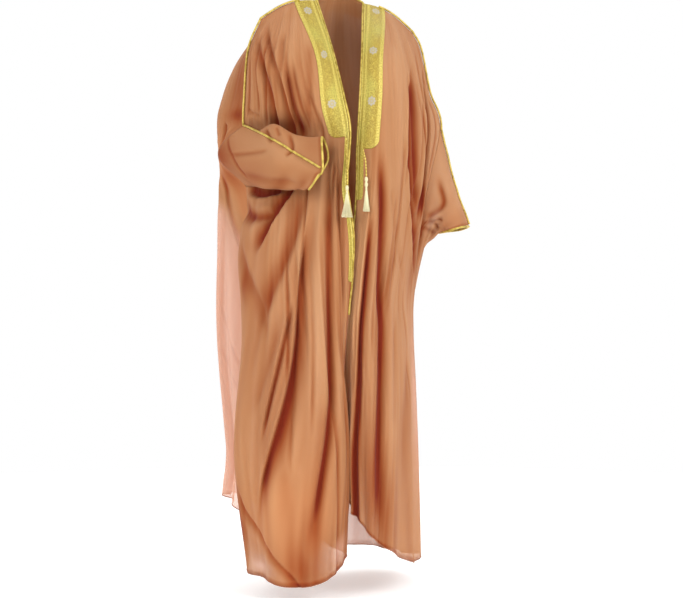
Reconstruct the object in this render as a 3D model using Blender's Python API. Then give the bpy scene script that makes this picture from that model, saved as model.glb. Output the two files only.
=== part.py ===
"""Bisht cloak, worn: two fronts, a back, two sleeve ends, zari bands, piping and tassels.

The wearer faces -Y and their left is +X. The origin is midway between the high points of
the shoulders, where the cloak is carried. Tables are in millimetres, one row for each
section, fold or ring; everything that is built from them is in metres.
"""
import math
from collections import namedtuple

import bmesh
import bpy
import numpy as np
from mathutils import Vector

MM = 0.001

# ---- driving sizes, metres -------------------------------------------------
CLOTH = 0.0015          # wall of the cloth
GAP = 0.0003            # between pieces at a seam
CUFF_GAP = 0.0018       # between a cuff's uneven rim and its piping
SHOULDER_GAP = 0.0008   # drawn back where front and back meet at the shoulder
ARMHOLE_GAP = 0.0016    # drawn back from the sharply turned armhole seam
BAND_WIDTH = 0.058      # the broad zari band
BAND_WALL = 0.0016
PIPING_RADIUS = 0.0018
CORD_DIAMETER = 0.0045
SHOULDER_CROWN = 0.016  # how far a shoulder seam bows up between its ends
TIGHTEST_FOLD = 0.8     # narrowest fold, in grid cells, that the coarse wall follows
FOLD_FADE = 0.35        # share of a fold's run over which it fades in and out
FOLD_LIP_AT = 1.9       # where a valley's raised lips stand, in half widths
FOLD_LIP = 0.38         # their height, as a share of the valley's depth
SEAM_CALM = 0.05        # folds die out over this far from a seam
SHOULDER_CALM = 0.5     # and over this many rows from the shoulder

# ---- grid of the walls -----------------------------------------------------
ROWS_BETWEEN = (3, 3, 2, 4, 4, 4, 4, 4, 4)   # grid rows between the sections
FRONT_COLUMNS = 21       # the first few of them under the band
BACK_COLUMNS = 36
SLEEVE_STEPS = 7
NORMAL_STEP = 1.0e-3
NORMAL_INSET = 0.025     # normals on an edge are taken this far inside it
BAND_STRIDE = 0.01       # step across a front when its band is paced out

# ---- the lines that the panels share ---------------------------------------
NECK = {"right": (-70, 0, 0), "left": (62, 0, -2)}
NAPE = (0, 58, 34)
ELBOW_ROW, UNDERARM_ROW, LAST_ROW = 3, 5, 9

# shoulder tip, two on the upper arm, elbow, armhole, underarm, four on the side seam
SIDE_LINE = {
    "right": ((-215, 0, -55), (-247, 1, -135), (-255, 11, -256), (-256, 20, -327), (-246, 38, -402),
              (-240, 57, -478), (-225, 73, -642), (-216, 70, -870), (-225, 73, -1150), (-225, 73, -1336)),
    "left": ((195, 0, -71), (215, -7, -115), (232, -26, -227), (254, -51, -328), (227, -32, -536),
             (199, -12, -742), (202, 8, -851), (212, 15, -1009), (219, 13, -1220), (218, 3, -1435)),
}
# how far the armhole's front and back lines stand off the side line, halfway down
Armhole = namedtuple("Armhole", "front back")
ARMHOLE = {
    "right": Armhole(front=(20, 25, 0), back=(-54, 75, 8)),
    "left": Armhole(front=(-40, -75, 0), back=(34, 73, 0)),
}

# ---- sections --------------------------------------------------------------
FrontSection = namedtuple("FrontSection", "edge breast middle flank turn")
FRONT_SECTIONS = {
    "right": (
        FrontSection((-61, -106, -141), (-109, -128, -156), (-168, -119, -165), (-215, -83, -160), (-241, -43, -145)),
        FrontSection((-55, -182, -270), (-94, -180, -281), (-157, -149, -285), (-208, -95, -279), (-239, -38, -266)),
        FrontSection((-49, -210, -347), (-75, -186, -353), (-128, -122, -351), (-182, -41, -340), (-223, 4, -332)),
        FrontSection((-51, -209, -419), (-74, -176, -419), (-123, -107, -420), (-175, -22, -415), (-206, 25, -407)),
        FrontSection((-52, -199, -492), (-79, -174, -494), (-132, -120, -496), (-187, -39, -493), (-224, 20, -485)),
        FrontSection((-38, -209, -643), (-95, -216, -651), (-165, -194, -654), (-242, -121, -647), (-278, -15, -645)),
        FrontSection((-51, -197, -870), (-87, -224, -874), (-165, -220, -881), (-247, -151, -875), (-278, -36, -872)),
        FrontSection((-57, -139, -1142), (-62, -206, -1146), (-173, -228, -1156), (-266, -145, -1153),
                     (-295, -20, -1151)),
        FrontSection((-77, -101, -1379), (-53, -183, -1422), (-162, -210, -1476), (-247, -130, -1460),
                     (-259, -21, -1440)),
    ),
    "left": (
        FrontSection((13, -136, -142), (37, -165, -145), (80, -157, -147), (125, -130, -146), (172, -77, -135)),
        FrontSection((-6, -177, -265), (27, -209, -268), (80, -194, -264), (131, -158, -258), (178, -110, -246)),
        FrontSection((-19, -192, -394), (16, -228, -394), (71, -212, -379), (126, -178, -369), (189, -125, -352)),
        FrontSection((-22, -192, -523), (8, -234, -530), (58, -219, -538), (108, -182, -541), (160, -136, -543)),
        FrontSection((-32, -179, -741), (-11, -222, -744), (34, -211, -747), (84, -175, -749), (142, -99, -749)),
        FrontSection((-39, -176, -839), (-18, -219, -845), (30, -215, -851), (87, -175, -852), (150, -91, -851)),
        FrontSection((-38, -171, -988), (-20, -219, -993), (29, -220, -999), (90, -182, -1002), (157, -93, -1005)),
        FrontSection((-34, -163, -1130), (-23, -212, -1154), (25, -224, -1172), (91, -187, -1190),
                     (162, -95, -1208)),
        FrontSection((-30, -154, -1276), (-16, -204, -1326), (22, -223, -1370), (87, -197, -1411),
                     (164, -106, -1443)),
    ),
}
BackSection = namedtuple("BackSection", "right_wing right_blade spine left_blade left_wing")
BACK_SECTIONS = (
    BackSection((-242, 110, -146), (-150, 115, -120), (0, 130, -100), (130, 115, -125), (225, 60, -125)),
    BackSection((-292, 116, -256), (-190, 165, -250), (0, 165, -250), (160, 150, -270), (265, 85, -240)),
    BackSection((-298, 128, -318), (-200, 185, -330), (0, 175, -350), (175, 165, -370), (285, 75, -340)),
    BackSection((-272, 183, -402), (-200, 195, -410), (0, 185, -450), (175, 170, -490), (250, 140, -530)),
    BackSection((-285, 156, -483), (-190, 200, -490), (0, 190, -560), (165, 175, -620), (225, 100, -700)),
    BackSection((-290, 157, -646), (-185, 210, -660), (0, 205, -720), (165, 195, -780), (230, 120, -850)),
    BackSection((-286, 167, -877), (-190, 215, -880), (0, 225, -930), (175, 220, -980), (235, 140, -1000)),
    BackSection((-262, 155, -1165), (-190, 225, -1150), (0, 240, -1180), (185, 235, -1220), (240, 150, -1220)),
    BackSection((-265, 181, -1287), (-190, 238, -1300), (0, 250, -1420), (190, 245, -1450), (245, 155, -1460)),
)
# a ring of a sleeve, from its piping forward and down, under, and up behind
SleeveRing = namedtuple("SleeveRing", "top fore_high fore_low under rear_low rear_high")
SLEEVE_RINGS = {
    "right": (
        SleeveRing((-222, -107, -368), (-210, -74, -332), (-196, -31, -391),
                   (-215, -62, -487), (-230, -99, -467), (-231, -120, -419)),
        SleeveRing((-174, -180, -413), (-160, -143, -364), (-146, -105, -415),
                   (-167, -130, -493), (-180, -167, -478), (-181, -188, -445)),
        SleeveRing((-129, -242, -452), (-122, -213, -372), (-96, -179, -425),
                   (-149, -199, -496), (-149, -227, -488), (-140, -238, -469)),
    ),
    "left": (
        SleeveRing((279, -85, -471), (251, -129, -505), (215, -122, -572),
                   (203, -45, -647), (256, 6, -574), (287, -15, -508)),
        SleeveRing((309, -111, -580), (273, -157, -583), (237, -150, -593),
                   (237, -87, -596), (274, -42, -591), (311, -48, -586)),
    ),
}

# ---- folds: a valley's way down a panel, as (row, across) stops, its depth and half width ----
Fold = namedtuple("Fold", "way depth width")
FRONT_FOLDS = {
    "right": (
        Fold(((0.5, 0.90), (1.2, 0.70), (2.0, 0.61), (3.0, 0.60)), 17, 10),
        Fold(((0.4, 0.76), (0.9, 0.66), (1.4, 0.60)), 9, 8),
        Fold(((0.6, 0.52), (1.0, 0.51), (1.5, 0.52)), 9, 9),
        Fold(((1.1, 0.45), (2.0, 0.48), (3.1, 0.44)), 18, 10),
        Fold(((0.8, 0.25), (1.9, 0.33), (3.0, 0.28)), 11, 9),
        Fold(((4.9, 0.47), (5.4, 0.52), (6.0, 0.62)), 16, 11),
        Fold(((5.8, 0.39), (6.9, 0.45), (7.5, 0.53), (8.0, 0.58), (8.7, 0.62)), 20, 11),
        Fold(((5.0, 0.24), (6.0, 0.23), (7.0, 0.26), (8.0, 0.285), (8.9, 0.33)), 14, 9),
        Fold(((4.8, 0.10), (5.4, 0.10), (6.2, 0.12)), 10, 7),
        Fold(((6.6, 0.72), (7.4, 0.70), (8.6, 0.76)), 8, 14),
    ),
    "left": (
        Fold(((1.1, 0.76), (2.0, 0.66), (2.8, 0.58), (3.6, 0.66), (4.8, 0.86)), 19, 10),
        Fold(((1.4, 0.95), (2.8, 0.78), (3.5, 0.86), (4.2, 0.84)), 14, 9),
        Fold(((0.3, 0.45), (0.9, 0.50)), 6, 8),
        Fold(((3.1, 0.27), (4.0, 0.29), (5.0, 0.41), (7.0, 0.40), (8.7, 0.40)), 16, 10),
        Fold(((4.1, 0.15), (5.0, 0.22), (6.0, 0.24), (7.0, 0.19), (8.0, 0.16), (9.6, 0.10)), 20, 9),
        Fold(((3.9, 0.46), (5.0, 0.57), (7.0, 0.53), (7.6, 0.54)), 6, 10),
        Fold(((6.3, 0.80), (7.4, 0.74), (9.6, 0.72)), 9, 16),
    ),
}
BACK_FOLDS = (
    Fold(((0.6, 0.24), (2.5, 0.22), (6.0, 0.20), (9.6, 0.21)), 13, 16),
    Fold(((1.3, 0.33), (3.0, 0.31), (7.2, 0.29)), 10, 13),
    Fold(((2.2, 0.41), (5.0, 0.385), (9.6, 0.36)), 15, 15),
    Fold(((4.0, 0.47), (6.0, 0.455), (8.4, 0.44)), 9, 12),
    Fold(((1.6, 0.555), (4.0, 0.55), (9.6, 0.53)), 16, 15),
    Fold(((3.4, 0.62), (5.2, 0.615), (7.6, 0.60)), 9, 12),
    Fold(((1.0, 0.70), (4.0, 0.69), (9.6, 0.68)), 14, 15),
    Fold(((2.6, 0.79), (5.0, 0.775), (7.9, 0.76)), 10, 13),
    Fold(((5.6, 0.12), (7.5, 0.115), (9.6, 0.12)), 10, 15),
)
HEM_WAVES = {"right": 5, "left": 5, "back": 9}
HEM_WAVE_DEPTH = 0.007
HEM_WAVE_TOP = 5.5      # the row where the waves start to show

# ---- trims -----------------------------------------------------------------
BAND_COLUMNS = 3                              # grid columns under the band
BAND_END_ROW = {"right": 3.25, "left": 3.0}
TAIL_END_ROW = 4.0                            # the left band's narrow tail, one column wide
EDGING_END_ROW = {"right": 6.75, "left": 5.75}
ARM_PIPING_END = 0.965                        # along the sleeve, just short of the cuff's piping
NECK_SPAN = (2 / 6, 4 / 6)                    # the neck's share of the back's top edge
NECK_BAND_SPAN = (8 / 36, 28 / 36)            # the neck band's, past the shoulder seams

Cord = namedtuple("Cord", "points tassel_spread tassel_length knots")
CORDS = {
    "right": Cord(((-58, -217, -373), (-60, -224, -386), (-61, -229, -408), (-61, -231, -436),
                   (-61, -232, -464), (-61, -232, -490)), 15, 66, 1),
    "left": Cord(((-13, -212, -400), (-13, -220, -411), (-12, -228, -428), (-12, -232, -448),
                  (-12, -234, -468)), 9, 60, 2),
}
CORD_POINT_EVERY = 0.009
KNOT_RADIUS = 0.0042
KNOT_HEIGHT = 0.013
SKIRT_HEAD = 0.012      # the bound part of the skirt, above its free threads
SKIRT_FOOT_RADIUS = 0.00525
SKIRT_CROWN_RADIUS = 0.0025
THREAD_PARTING = 0.0002

COLOURS = {
    "cloth": (0.55, 0.28, 0.12, 0.55),
    "zari": (0.55, 0.47, 0.10, 0.45),
    "piping": (0.80, 0.66, 0.18, 0.35),
    "tassel": (0.85, 0.80, 0.45, 0.60),
}


# ---- smooth lines and sections -----------------------------------------------
def smooth_line(points, place):
    """The point at a place along a smooth line through equally spaced points."""
    last = len(points) - 1
    step = min(int(place), last - 1)
    t = place - step
    before = points[step - 1] if step > 0 else 2 * points[0] - points[1]
    after = points[step + 2] if step + 2 <= last else 2 * points[last] - points[last - 1]
    start, end = points[step], points[step + 1]
    return 0.5 * (2 * start + (end - before) * t
                  + (2 * before - 5 * start + 4 * end - after) * t ** 2
                  + (3 * start - before - 3 * end + after) * t ** 3)


def smooth_ring(points, place):
    """The same, round a closed ring, with place from 0 to 1."""
    count = len(points)
    turned = [points[(k - 1) % count] for k in range(count + 3)]
    return smooth_line(turned, 1 + (place % 1.0) * count)


def table(rows):
    """A table's rows in metres."""
    return [[np.array(point) * MM for point in row] for row in rows]


def ease(value):
    value = min(max(value, 0.0), 1.0)
    return value * value * (3 - 2 * value)


SIDE = {side: [np.array(point) * MM for point in line] for side, line in SIDE_LINE.items()}
FRONT = {side: table(rows) for side, rows in FRONT_SECTIONS.items()}
BACK = table(BACK_SECTIONS)
RINGS = {side: table(rows) for side, rows in SLEEVE_RINGS.items()}


def side_line(side, row, face):
    """The line down the arm and side, parted into the armhole's two lines in between."""
    point = smooth_line(SIDE[side], row)
    if ELBOW_ROW < row < UNDERARM_ROW:
        down = (row - ELBOW_ROW) / (UNDERARM_ROW - ELBOW_ROW)
        offset = getattr(ARMHOLE[side], face)
        point = point + np.array(offset) * MM * math.sin(math.pi * down)
    return point


def shoulder_line(side, across):
    """The shoulder seam, from the neck to the tip."""
    neck = np.array(NECK[side]) * MM
    line = neck + (SIDE[side][0] - neck) * across
    return line + np.array((0, 0, SHOULDER_CROWN * math.sin(math.pi * across)))


def neck_line(across):
    """The back's top edge, right tip to neck, nape and left tip."""
    low, high = NECK_SPAN
    if across <= low:
        return shoulder_line("right", 1 - across / low)
    if across >= high:
        return shoulder_line("left", (across - high) / (1 - high))
    turn = (across - low) / (high - low)
    right, left = (np.array(NECK[side]) * MM for side in ("right", "left"))
    rise = math.sin(math.pi * turn)
    middle = (right + left) / 2
    return right + (left - right) * turn + (np.array(NAPE) * MM - middle) * rise


def front_base(side, across, row):
    """The front panel before its folds."""
    columns = []
    for station in range(len(FrontSection._fields)):
        top = shoulder_line(side, station / len(FrontSection._fields))
        columns.append(smooth_line([top] + [section[station] for section in FRONT[side]], row))
    columns.append(side_line(side, row, "front"))
    point = smooth_line(columns, across * (len(columns) - 1))
    if row < 1:
        tops = [shoulder_line(side, k / (len(columns) - 1)) for k in range(len(columns))]
        miss = shoulder_line(side, across) - smooth_line(tops, across * (len(columns) - 1))
        point = point + miss * (1 - ease(row))
    return point


def back_base(across, row):
    """The back panel before its folds."""
    stations = len(BackSection._fields) + 1
    columns = [side_line("right", row, "back")]
    for station in range(1, stations):
        top = neck_line(station / stations)
        columns.append(smooth_line([top] + [section[station - 1] for section in BACK], row))
    columns.append(side_line("left", row, "back"))
    point = smooth_line(columns, across * stations)
    if row < 1:
        tops = [neck_line(k / stations) for k in range(stations + 1)]
        miss = neck_line(across) - smooth_line(tops, across * stations)
        point = point + miss * (1 - ease(row))
    return point


def sleeve_base(side, round_, along):
    """The sleeve end, round from its piping, along from the armhole to the cuff."""
    span = UNDERARM_ROW - ELBOW_ROW
    if round_ <= 0.5:
        start = side_line(side, ELBOW_ROW + span * 2 * round_, "front")
    else:
        start = side_line(side, UNDERARM_ROW - span * (2 * round_ - 1), "back")
    rings = [start] + [smooth_ring(ring, round_) for ring in RINGS[side]]
    return smooth_line(rings, along * (len(rings) - 1))


# ---- folds --------------------------------------------------------------------
def fold_across(way, row):
    """Where a fold lies across the panel at a row."""
    for (row_a, across_a), (row_b, across_b) in zip(way, way[1:]):
        if row <= row_b:
            return across_a + (across_b - across_a) * ease((row - row_a) / (row_b - row_a))
    return way[-1][1]


def fold_depth(folds, across, row, metres_across, cell):
    """How far the folds push the wall in at a point."""
    push = 0.0
    for fold in folds:
        first, last = fold.way[0][0], fold.way[-1][0]
        if not first < row < last:
            continue
        fade = ease((row - first) / (FOLD_FADE * (last - first)))
        if last < LAST_ROW:
            fade *= ease((last - row) / (FOLD_FADE * (last - first)))
        width = math.hypot(fold.width * MM, TIGHTEST_FOLD * cell)
        off = (across - fold_across(fold.way, row)) * metres_across / width
        valley = math.exp(-off * off)
        lips = math.exp(-(abs(off) - FOLD_LIP_AT) ** 2)
        push += fold.depth * MM * fade * (valley - FOLD_LIP * lips)
    return push


def hem_waves(count, across, row):
    """The soft waves that grow towards the hem."""
    swell = ease((row - HEM_WAVE_TOP) / (LAST_ROW - HEM_WAVE_TOP))
    return HEM_WAVE_DEPTH * swell * math.sin(2 * math.pi * count * across + 0.8)


class Panel:
    """A wall of the cloak: its base, its folds, and which of its edges are seams."""

    def __init__(self, base, folds, waves, seams, columns, metres):
        self.base = base
        self.folds = folds
        self.waves = waves
        self.seams = seams          # across values where the folds must die out
        self.cell = metres / columns
        self.metres = metres

    def normal(self, across, row):
        """The outward direction of the base."""
        step = NORMAL_STEP
        across = min(max(across, NORMAL_INSET), 1 - NORMAL_INSET)
        row = min(max(row, 4 * NORMAL_INSET), LAST_ROW - NORMAL_INSET)
        low, high, up, down = across - step, across + step, row - step, row + step
        run = self.base(high, row) - self.base(low, row)
        fall = self.base(across, down) - self.base(across, up)
        normal = np.cross(run, fall)
        return normal / np.linalg.norm(normal)

    def point(self, across, row):
        """The outer face of the panel, folds and all."""
        push = fold_depth(self.folds, across, row, self.metres, self.cell)
        push += hem_waves(self.waves, across, row)
        for seam in self.seams:
            push *= ease(abs(across - seam) * self.metres / SEAM_CALM)
        push *= ease(row / SHOULDER_CALM)
        return self.base(across, row) - self.normal(across, row) * push


def right_front(across, row):
    """The right front, from its free edge to its side seam."""
    return front_base("right", across, row)


def left_front(across, row):
    """The left front, from its side seam to its free edge."""
    return front_base("left", 1 - across, row)


PANELS = {
    "right": Panel(right_front, FRONT_FOLDS["right"], HEM_WAVES["right"], (1.0,), FRONT_COLUMNS, 0.52),
    "left": Panel(left_front,
                  [Fold([(row, 1 - across) for row, across in fold.way], fold.depth, fold.width)
                   for fold in FRONT_FOLDS["left"]],
                  HEM_WAVES["left"], (0.0,), FRONT_COLUMNS, 0.42),
    "back": Panel(back_base, BACK_FOLDS, HEM_WAVES["back"], (0.0, 1.0), BACK_COLUMNS, 0.85),
}


# ---- sleeves ------------------------------------------------------------------
def sleeve_normal(side, round_, along):
    """The outward direction of a sleeve end."""
    step = NORMAL_STEP
    low, high = max(along - step, 0.0), min(along + step, 1.0)
    turn = sleeve_base(side, (round_ + step) % 1.0, along) - sleeve_base(side, (round_ - step) % 1.0, along)
    run = sleeve_base(side, round_, high) - sleeve_base(side, round_, low)
    normal = np.cross(turn, run) * (-1 if side == "right" else 1)
    return normal / np.linalg.norm(normal)


# ---- directions that meeting pieces share ----------------------------------------
def unit(vector):
    """The vector at length one."""
    return vector / np.linalg.norm(vector)


def side_across(side):
    """Where a side's seam lies across its front panel, and across the back."""
    return (1.0, 0.0) if side == "right" else (0.0, 1.0)


def seam_normal(side, row, face):
    """The direction halfway between the pieces that meet on the side line."""
    front_across, back_across = side_across(side)
    front = PANELS[side].normal(front_across, row)
    back = PANELS["back"].normal(back_across, row)
    if not ELBOW_ROW <= row <= UNDERARM_ROW:
        return unit(front + back)
    down = (row - ELBOW_ROW) / (UNDERARM_ROW - ELBOW_ROW)
    sleeve = sleeve_normal(side, down / 2 if face == "front" else (1 - down / 2) % 1.0, 0.0)
    if row in (ELBOW_ROW, UNDERARM_ROW):
        return unit(front + back + sleeve)
    return unit((front if face == "front" else back) + sleeve)


def shoulder_normal(side, across):
    """The direction halfway between front and back on the shoulder seam."""
    span = NECK_SPAN[0]
    if side == "right":
        return unit(PANELS["right"].normal(across, 0.0) + PANELS["back"].normal(span * (1 - across), 0.0))
    return unit(PANELS["left"].normal(1 - across, 0.0) + PANELS["back"].normal(1 - span * (1 - across), 0.0))


def wall_normal(name, across, row):
    """The direction in which a panel's wall has its thickness."""
    if name == "back":
        if across in (0.0, 1.0):
            return seam_normal("right" if across == 0.0 else "left", row, "back")
        low, high = NECK_SPAN
        if row == 0.0 and across <= low:
            return shoulder_normal("right", 1 - across / low)
        if row == 0.0 and across >= high:
            return shoulder_normal("left", (across - high) / (1 - high))
        return PANELS[name].normal(across, row)
    seam_across = side_across(name)[0]
    if across == seam_across:
        return seam_normal(name, row, "front")
    if row == 0.0:
        return shoulder_normal(name, across if name == "right" else 1 - across)
    return PANELS[name].normal(across, row)


# ---- grids ----------------------------------------------------------------------
def grid_rows():
    """Every row of the grids, as places between the sections."""
    rows = []
    for section, count in enumerate(ROWS_BETWEEN):
        rows += [section + step / count for step in range(count)]
    return rows + [float(LAST_ROW)]


def band_across(side, row):
    """How far across a front its band reaches at a row, paced out from the free edge."""
    edge, inward = (0.0, 1) if side == "right" else (1.0, -1)
    gone, across, stride = 0.0, 0.0, 0.0
    point = PANELS[side].base(edge, row)
    while gone < BAND_WIDTH:
        across += BAND_STRIDE
        following = PANELS[side].base(edge + inward * across, row)
        stride = np.linalg.norm(following - point)
        gone += stride
        point = following
    return across - BAND_STRIDE * (gone - BAND_WIDTH) / stride


def front_grid(side):
    """Every grid point of a front as (across, row): a few columns under the band, then the rest."""
    grid = []
    for row in grid_rows():
        reach = band_across(side, row)
        rest = FRONT_COLUMNS - BAND_COLUMNS
        stops = [reach * k / BAND_COLUMNS for k in range(BAND_COLUMNS)]
        stops += [reach + (1 - reach) * k / rest for k in range(rest + 1)]
        stops[-1] = 1.0
        grid.append([(stop, row) for stop in stops] if side == "right"
                    else [(1 - stop, row) for stop in reversed(stops)])
    return grid


def back_grid():
    """Every grid point of the back as (across, row)."""
    return [[(k / BACK_COLUMNS, row) for k in range(BACK_COLUMNS + 1)] for row in grid_rows()]


def sleeve_grid(side):
    """Every grid point of a sleeve as (round, along), its first ring on the panels' own rows."""
    span = UNDERARM_ROW - ELBOW_ROW
    downs = [(row - ELBOW_ROW) / span for row in grid_rows() if ELBOW_ROW <= row <= UNDERARM_ROW]
    rounds = [down / 2 for down in downs] + [1 - down / 2 for down in reversed(downs[:-1])]
    return [[(round_, step / SLEEVE_STEPS) for round_ in rounds] for step in range(SLEEVE_STEPS + 1)]


# ---- meshes ---------------------------------------------------------------------
def wall_mesh(name, points, outs, wall, closed=False):
    """A wall on a grid of outer points, with its thickness laid inward along its directions."""
    rows, columns = len(points) - 1, len(points[0]) - 1
    sheet = bmesh.new()
    inward = sheet.verts.layers.float_vector.new("inward")
    bmesh.ops.create_grid(sheet, x_segments=columns, y_segments=rows, size=0.5)
    for vert in sheet.verts:
        column, row = round((vert.co.x + 0.5) * columns), round((0.5 - vert.co.y) * rows)
        vert[inward] = Vector(-outs[row][column] * wall)
        vert.co = Vector(points[row][column])
    if closed:
        bmesh.ops.remove_doubles(sheet, verts=sheet.verts, dist=1.0e-5)
    bmesh.ops.triangulate(sheet, faces=sheet.faces, quad_method="FIXED")
    grown = bmesh.ops.extrude_face_region(sheet, geom=sheet.faces[:], use_keep_orig=True)
    for item in grown["geom"]:
        if isinstance(item, bmesh.types.BMVert):
            item.co += item[inward]
    bmesh.ops.recalc_face_normals(sheet, faces=sheet.faces)
    if sheet.calc_volume(signed=True) < 0:
        bmesh.ops.reverse_faces(sheet, faces=sheet.faces)
    mesh = bpy.data.meshes.new(name)
    sheet.to_mesh(mesh)
    sheet.free()
    return mesh


def parted(points, seams, gap=GAP):
    """The same points, with those on a seam drawn back from it by half the gap."""
    last_row, last_column = len(points) - 1, len(points[0]) - 1
    drawn = [[point.copy() for point in line] for line in points]
    for row in range(last_row + 1):
        for column in range(last_column + 1):
            inner_row, inner_column = row, column
            if seams.get("first") and column == 0:
                inner_column = 1
            if seams.get("last") and column == last_column:
                inner_column = last_column - 1
            if seams.get("top") and row == 0:
                inner_row = 1
            if (inner_row, inner_column) != (row, column):
                inner = points[inner_row][inner_column]
                drawn[row][column] += unit(inner - points[row][column]) * gap / 2
    return drawn


def panel_points(name, grid):
    """A panel's outer points on its grid, and the ways its wall stands out."""
    panel = PANELS[name]
    points = [[panel.point(across, row) for across, row in line] for line in grid]
    outs = [[wall_normal(name, across, row) for across, row in line] for line in grid]
    return points, outs


def tube(name, points, radius, sides_step=1, closed=False):
    """A round cord through a run of points."""
    curve = bpy.data.curves.new(name, "CURVE")
    curve.dimensions = "3D"
    curve.bevel_depth = radius
    curve.bevel_resolution = sides_step
    curve.use_fill_caps = not closed
    spline = curve.splines.new("POLY")
    spline.points.add(len(points) - 1)
    for slot, point in zip(spline.points, points):
        slot.co = (*point, 1.0)
    spline.use_cyclic_u = closed
    return curve


# ---- pieces -----------------------------------------------------------------------
def material(name):
    """A plain material of one of the cloak's four finishes."""
    red, green, blue, roughness = COLOURS[name]
    made = bpy.data.materials.new(name)
    made.use_nodes = True
    shader = made.node_tree.nodes["Principled BSDF"]
    shader.inputs["Base Color"].default_value = (red, green, blue, 1.0)
    shader.inputs["Roughness"].default_value = roughness
    shader.inputs["Metallic"].default_value = 0.6 if name in ("zari", "piping") else 0.0
    return made


class Bench:
    """Where finished pieces are put: their collection and their materials."""

    def __init__(self):
        self.collection = bpy.data.collections.new("bisht_cloak")
        bpy.context.scene.collection.children.link(self.collection)

    def add(self, name, data, finish):
        """Put a piece on the bench in its finish."""
        piece = bpy.data.objects.new(name, data)
        made = material(finish)
        made.name = name + "_" + finish
        data.materials.append(made)
        self.collection.objects.link(piece)
        return piece


def lifted(points, outs, height):
    """The same points, moved out from the wall."""
    return [[point + out * height for point, out in zip(line, ways)] for line, ways in zip(points, outs)]


def cut(grid, rows, columns):
    """The part of a grid between two rows and two columns, both kept."""
    return [line[columns[0]:columns[1] + 1] for line in grid[rows[0]:rows[1] + 1]]


def row_index(row):
    """Which grid row a place between the sections is."""
    return grid_rows().index(row)


def add_strip(bench, name, points, outs, rows, columns, seams):
    """A strip of zari on a panel, made from the panel's own points."""
    own_points, own_outs = cut(points, rows, columns), cut(outs, rows, columns)
    outer = lifted(parted(own_points, seams), own_outs, GAP + BAND_WALL)
    bench.add(name, wall_mesh(name, outer, own_outs, BAND_WALL), "zari")


def edge_line(side, points, back_points):
    """The cloak's free edge on one side, from the nape to the hem, and the way out of the cloth."""
    middle, neck = BACK_COLUMNS // 2, round(BACK_COLUMNS * NECK_SPAN[0])
    if side == "left":
        neck = BACK_COLUMNS - neck
    step = 1 if neck > middle else -1
    line = [(back_points[0][k], unit(back_points[0][k] - back_points[1][k]))
            for k in range(middle, neck, step)]
    edge, inner = (0, 1) if side == "right" else (-1, -2)
    line += [(row[edge], unit(row[edge] - row[inner])) for row in points]
    return line


def add_edging(bench, side, points, back_points):
    """Gold piping round the neck and down a front edge."""
    off = PIPING_RADIUS + GAP * 2
    line = edge_line(side, points, back_points)
    at_neck = len(line) - len(points)
    last = at_neck + row_index(EDGING_END_ROW[side])
    route = [point + way * off for point, way in line[:last + 1]]
    route[0] = route[0] + np.array(((-1 if side == "right" else 1) * GAP * 2, 0, 0))
    bench.add("edging_" + side, tube("edging_" + side, route, PIPING_RADIUS), "piping")


def add_arm_piping(bench, side):
    """Gold piping on the shoulder seam, down the arm and along the sleeve to the cuff."""
    off = PIPING_RADIUS + GAP * 2
    reach = band_across(side, 0.0)
    rest = FRONT_COLUMNS - BAND_COLUMNS
    stops = [reach + (1 - reach) * k / rest for k in range(1, rest)]
    route = [shoulder_line(side, stop) + shoulder_normal(side, stop) * off for stop in stops]
    for row in grid_rows():
        if row <= ELBOW_ROW:
            route.append(side_line(side, row, "front") + seam_normal(side, row, "front") * off)
    for step in range(1, SLEEVE_STEPS):
        along = step / SLEEVE_STEPS
        route.append(sleeve_base(side, 0.0, along) + sleeve_normal(side, 0.0, along) * off)
    route.append(sleeve_base(side, 0.0, ARM_PIPING_END) + sleeve_normal(side, 0.0, ARM_PIPING_END) * off)
    bench.add("arm_piping_" + side, tube("arm_piping_" + side, route, PIPING_RADIUS), "piping")


def add_sleeve(bench, side):
    """A sleeve end, and the piping round its cuff."""
    grid = sleeve_grid(side)
    points = [[sleeve_base(side, round_, along) for round_, along in line] for line in grid]
    outs = [[sleeve_normal(side, round_, along) for round_, along in line] for line in grid]
    span = UNDERARM_ROW - ELBOW_ROW
    for column, (round_, _) in enumerate(grid[0]):
        face = "front" if round_ <= 0.5 else "back"
        down = 2 * round_ if round_ <= 0.5 else 2 - 2 * round_
        outs[0][column] = seam_normal(side, ELBOW_ROW + span * down, face)
    name = "sleeve_" + side
    drawn = parted(points, {"top": True}, gap=ARMHOLE_GAP)
    bench.add(name, wall_mesh(name, drawn, outs, CLOTH, closed=True), "cloth")
    rim = points[-1][:-1]
    facing = unit(sum(np.cross(a, b) for a, b in zip(rim, rim[1:] + rim[:1])))
    if np.dot(facing, rim[0] - points[-2][0]) < 0:
        facing = -facing
    ring = [point + facing * (PIPING_RADIUS + CUFF_GAP) for point in rim]
    bench.add("cuff_piping_" + side, tube("cuff_piping_" + side, ring, PIPING_RADIUS, closed=True), "piping")


def add_cord(bench, side):
    """The free cord from a band's end to its tassel."""
    route = [np.array(point) * MM for point in CORDS[side].points]
    length = sum(np.linalg.norm(b - a) for a, b in zip(route, route[1:]))
    count = round(length / CORD_POINT_EVERY)
    line = [smooth_line(route, k * (len(route) - 1) / count) for k in range(count + 1)]
    name = "tassel_cord_" + side
    bench.add(name, tube(name, line, CORD_DIAMETER / 2, sides_step=2), "tassel")


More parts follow.
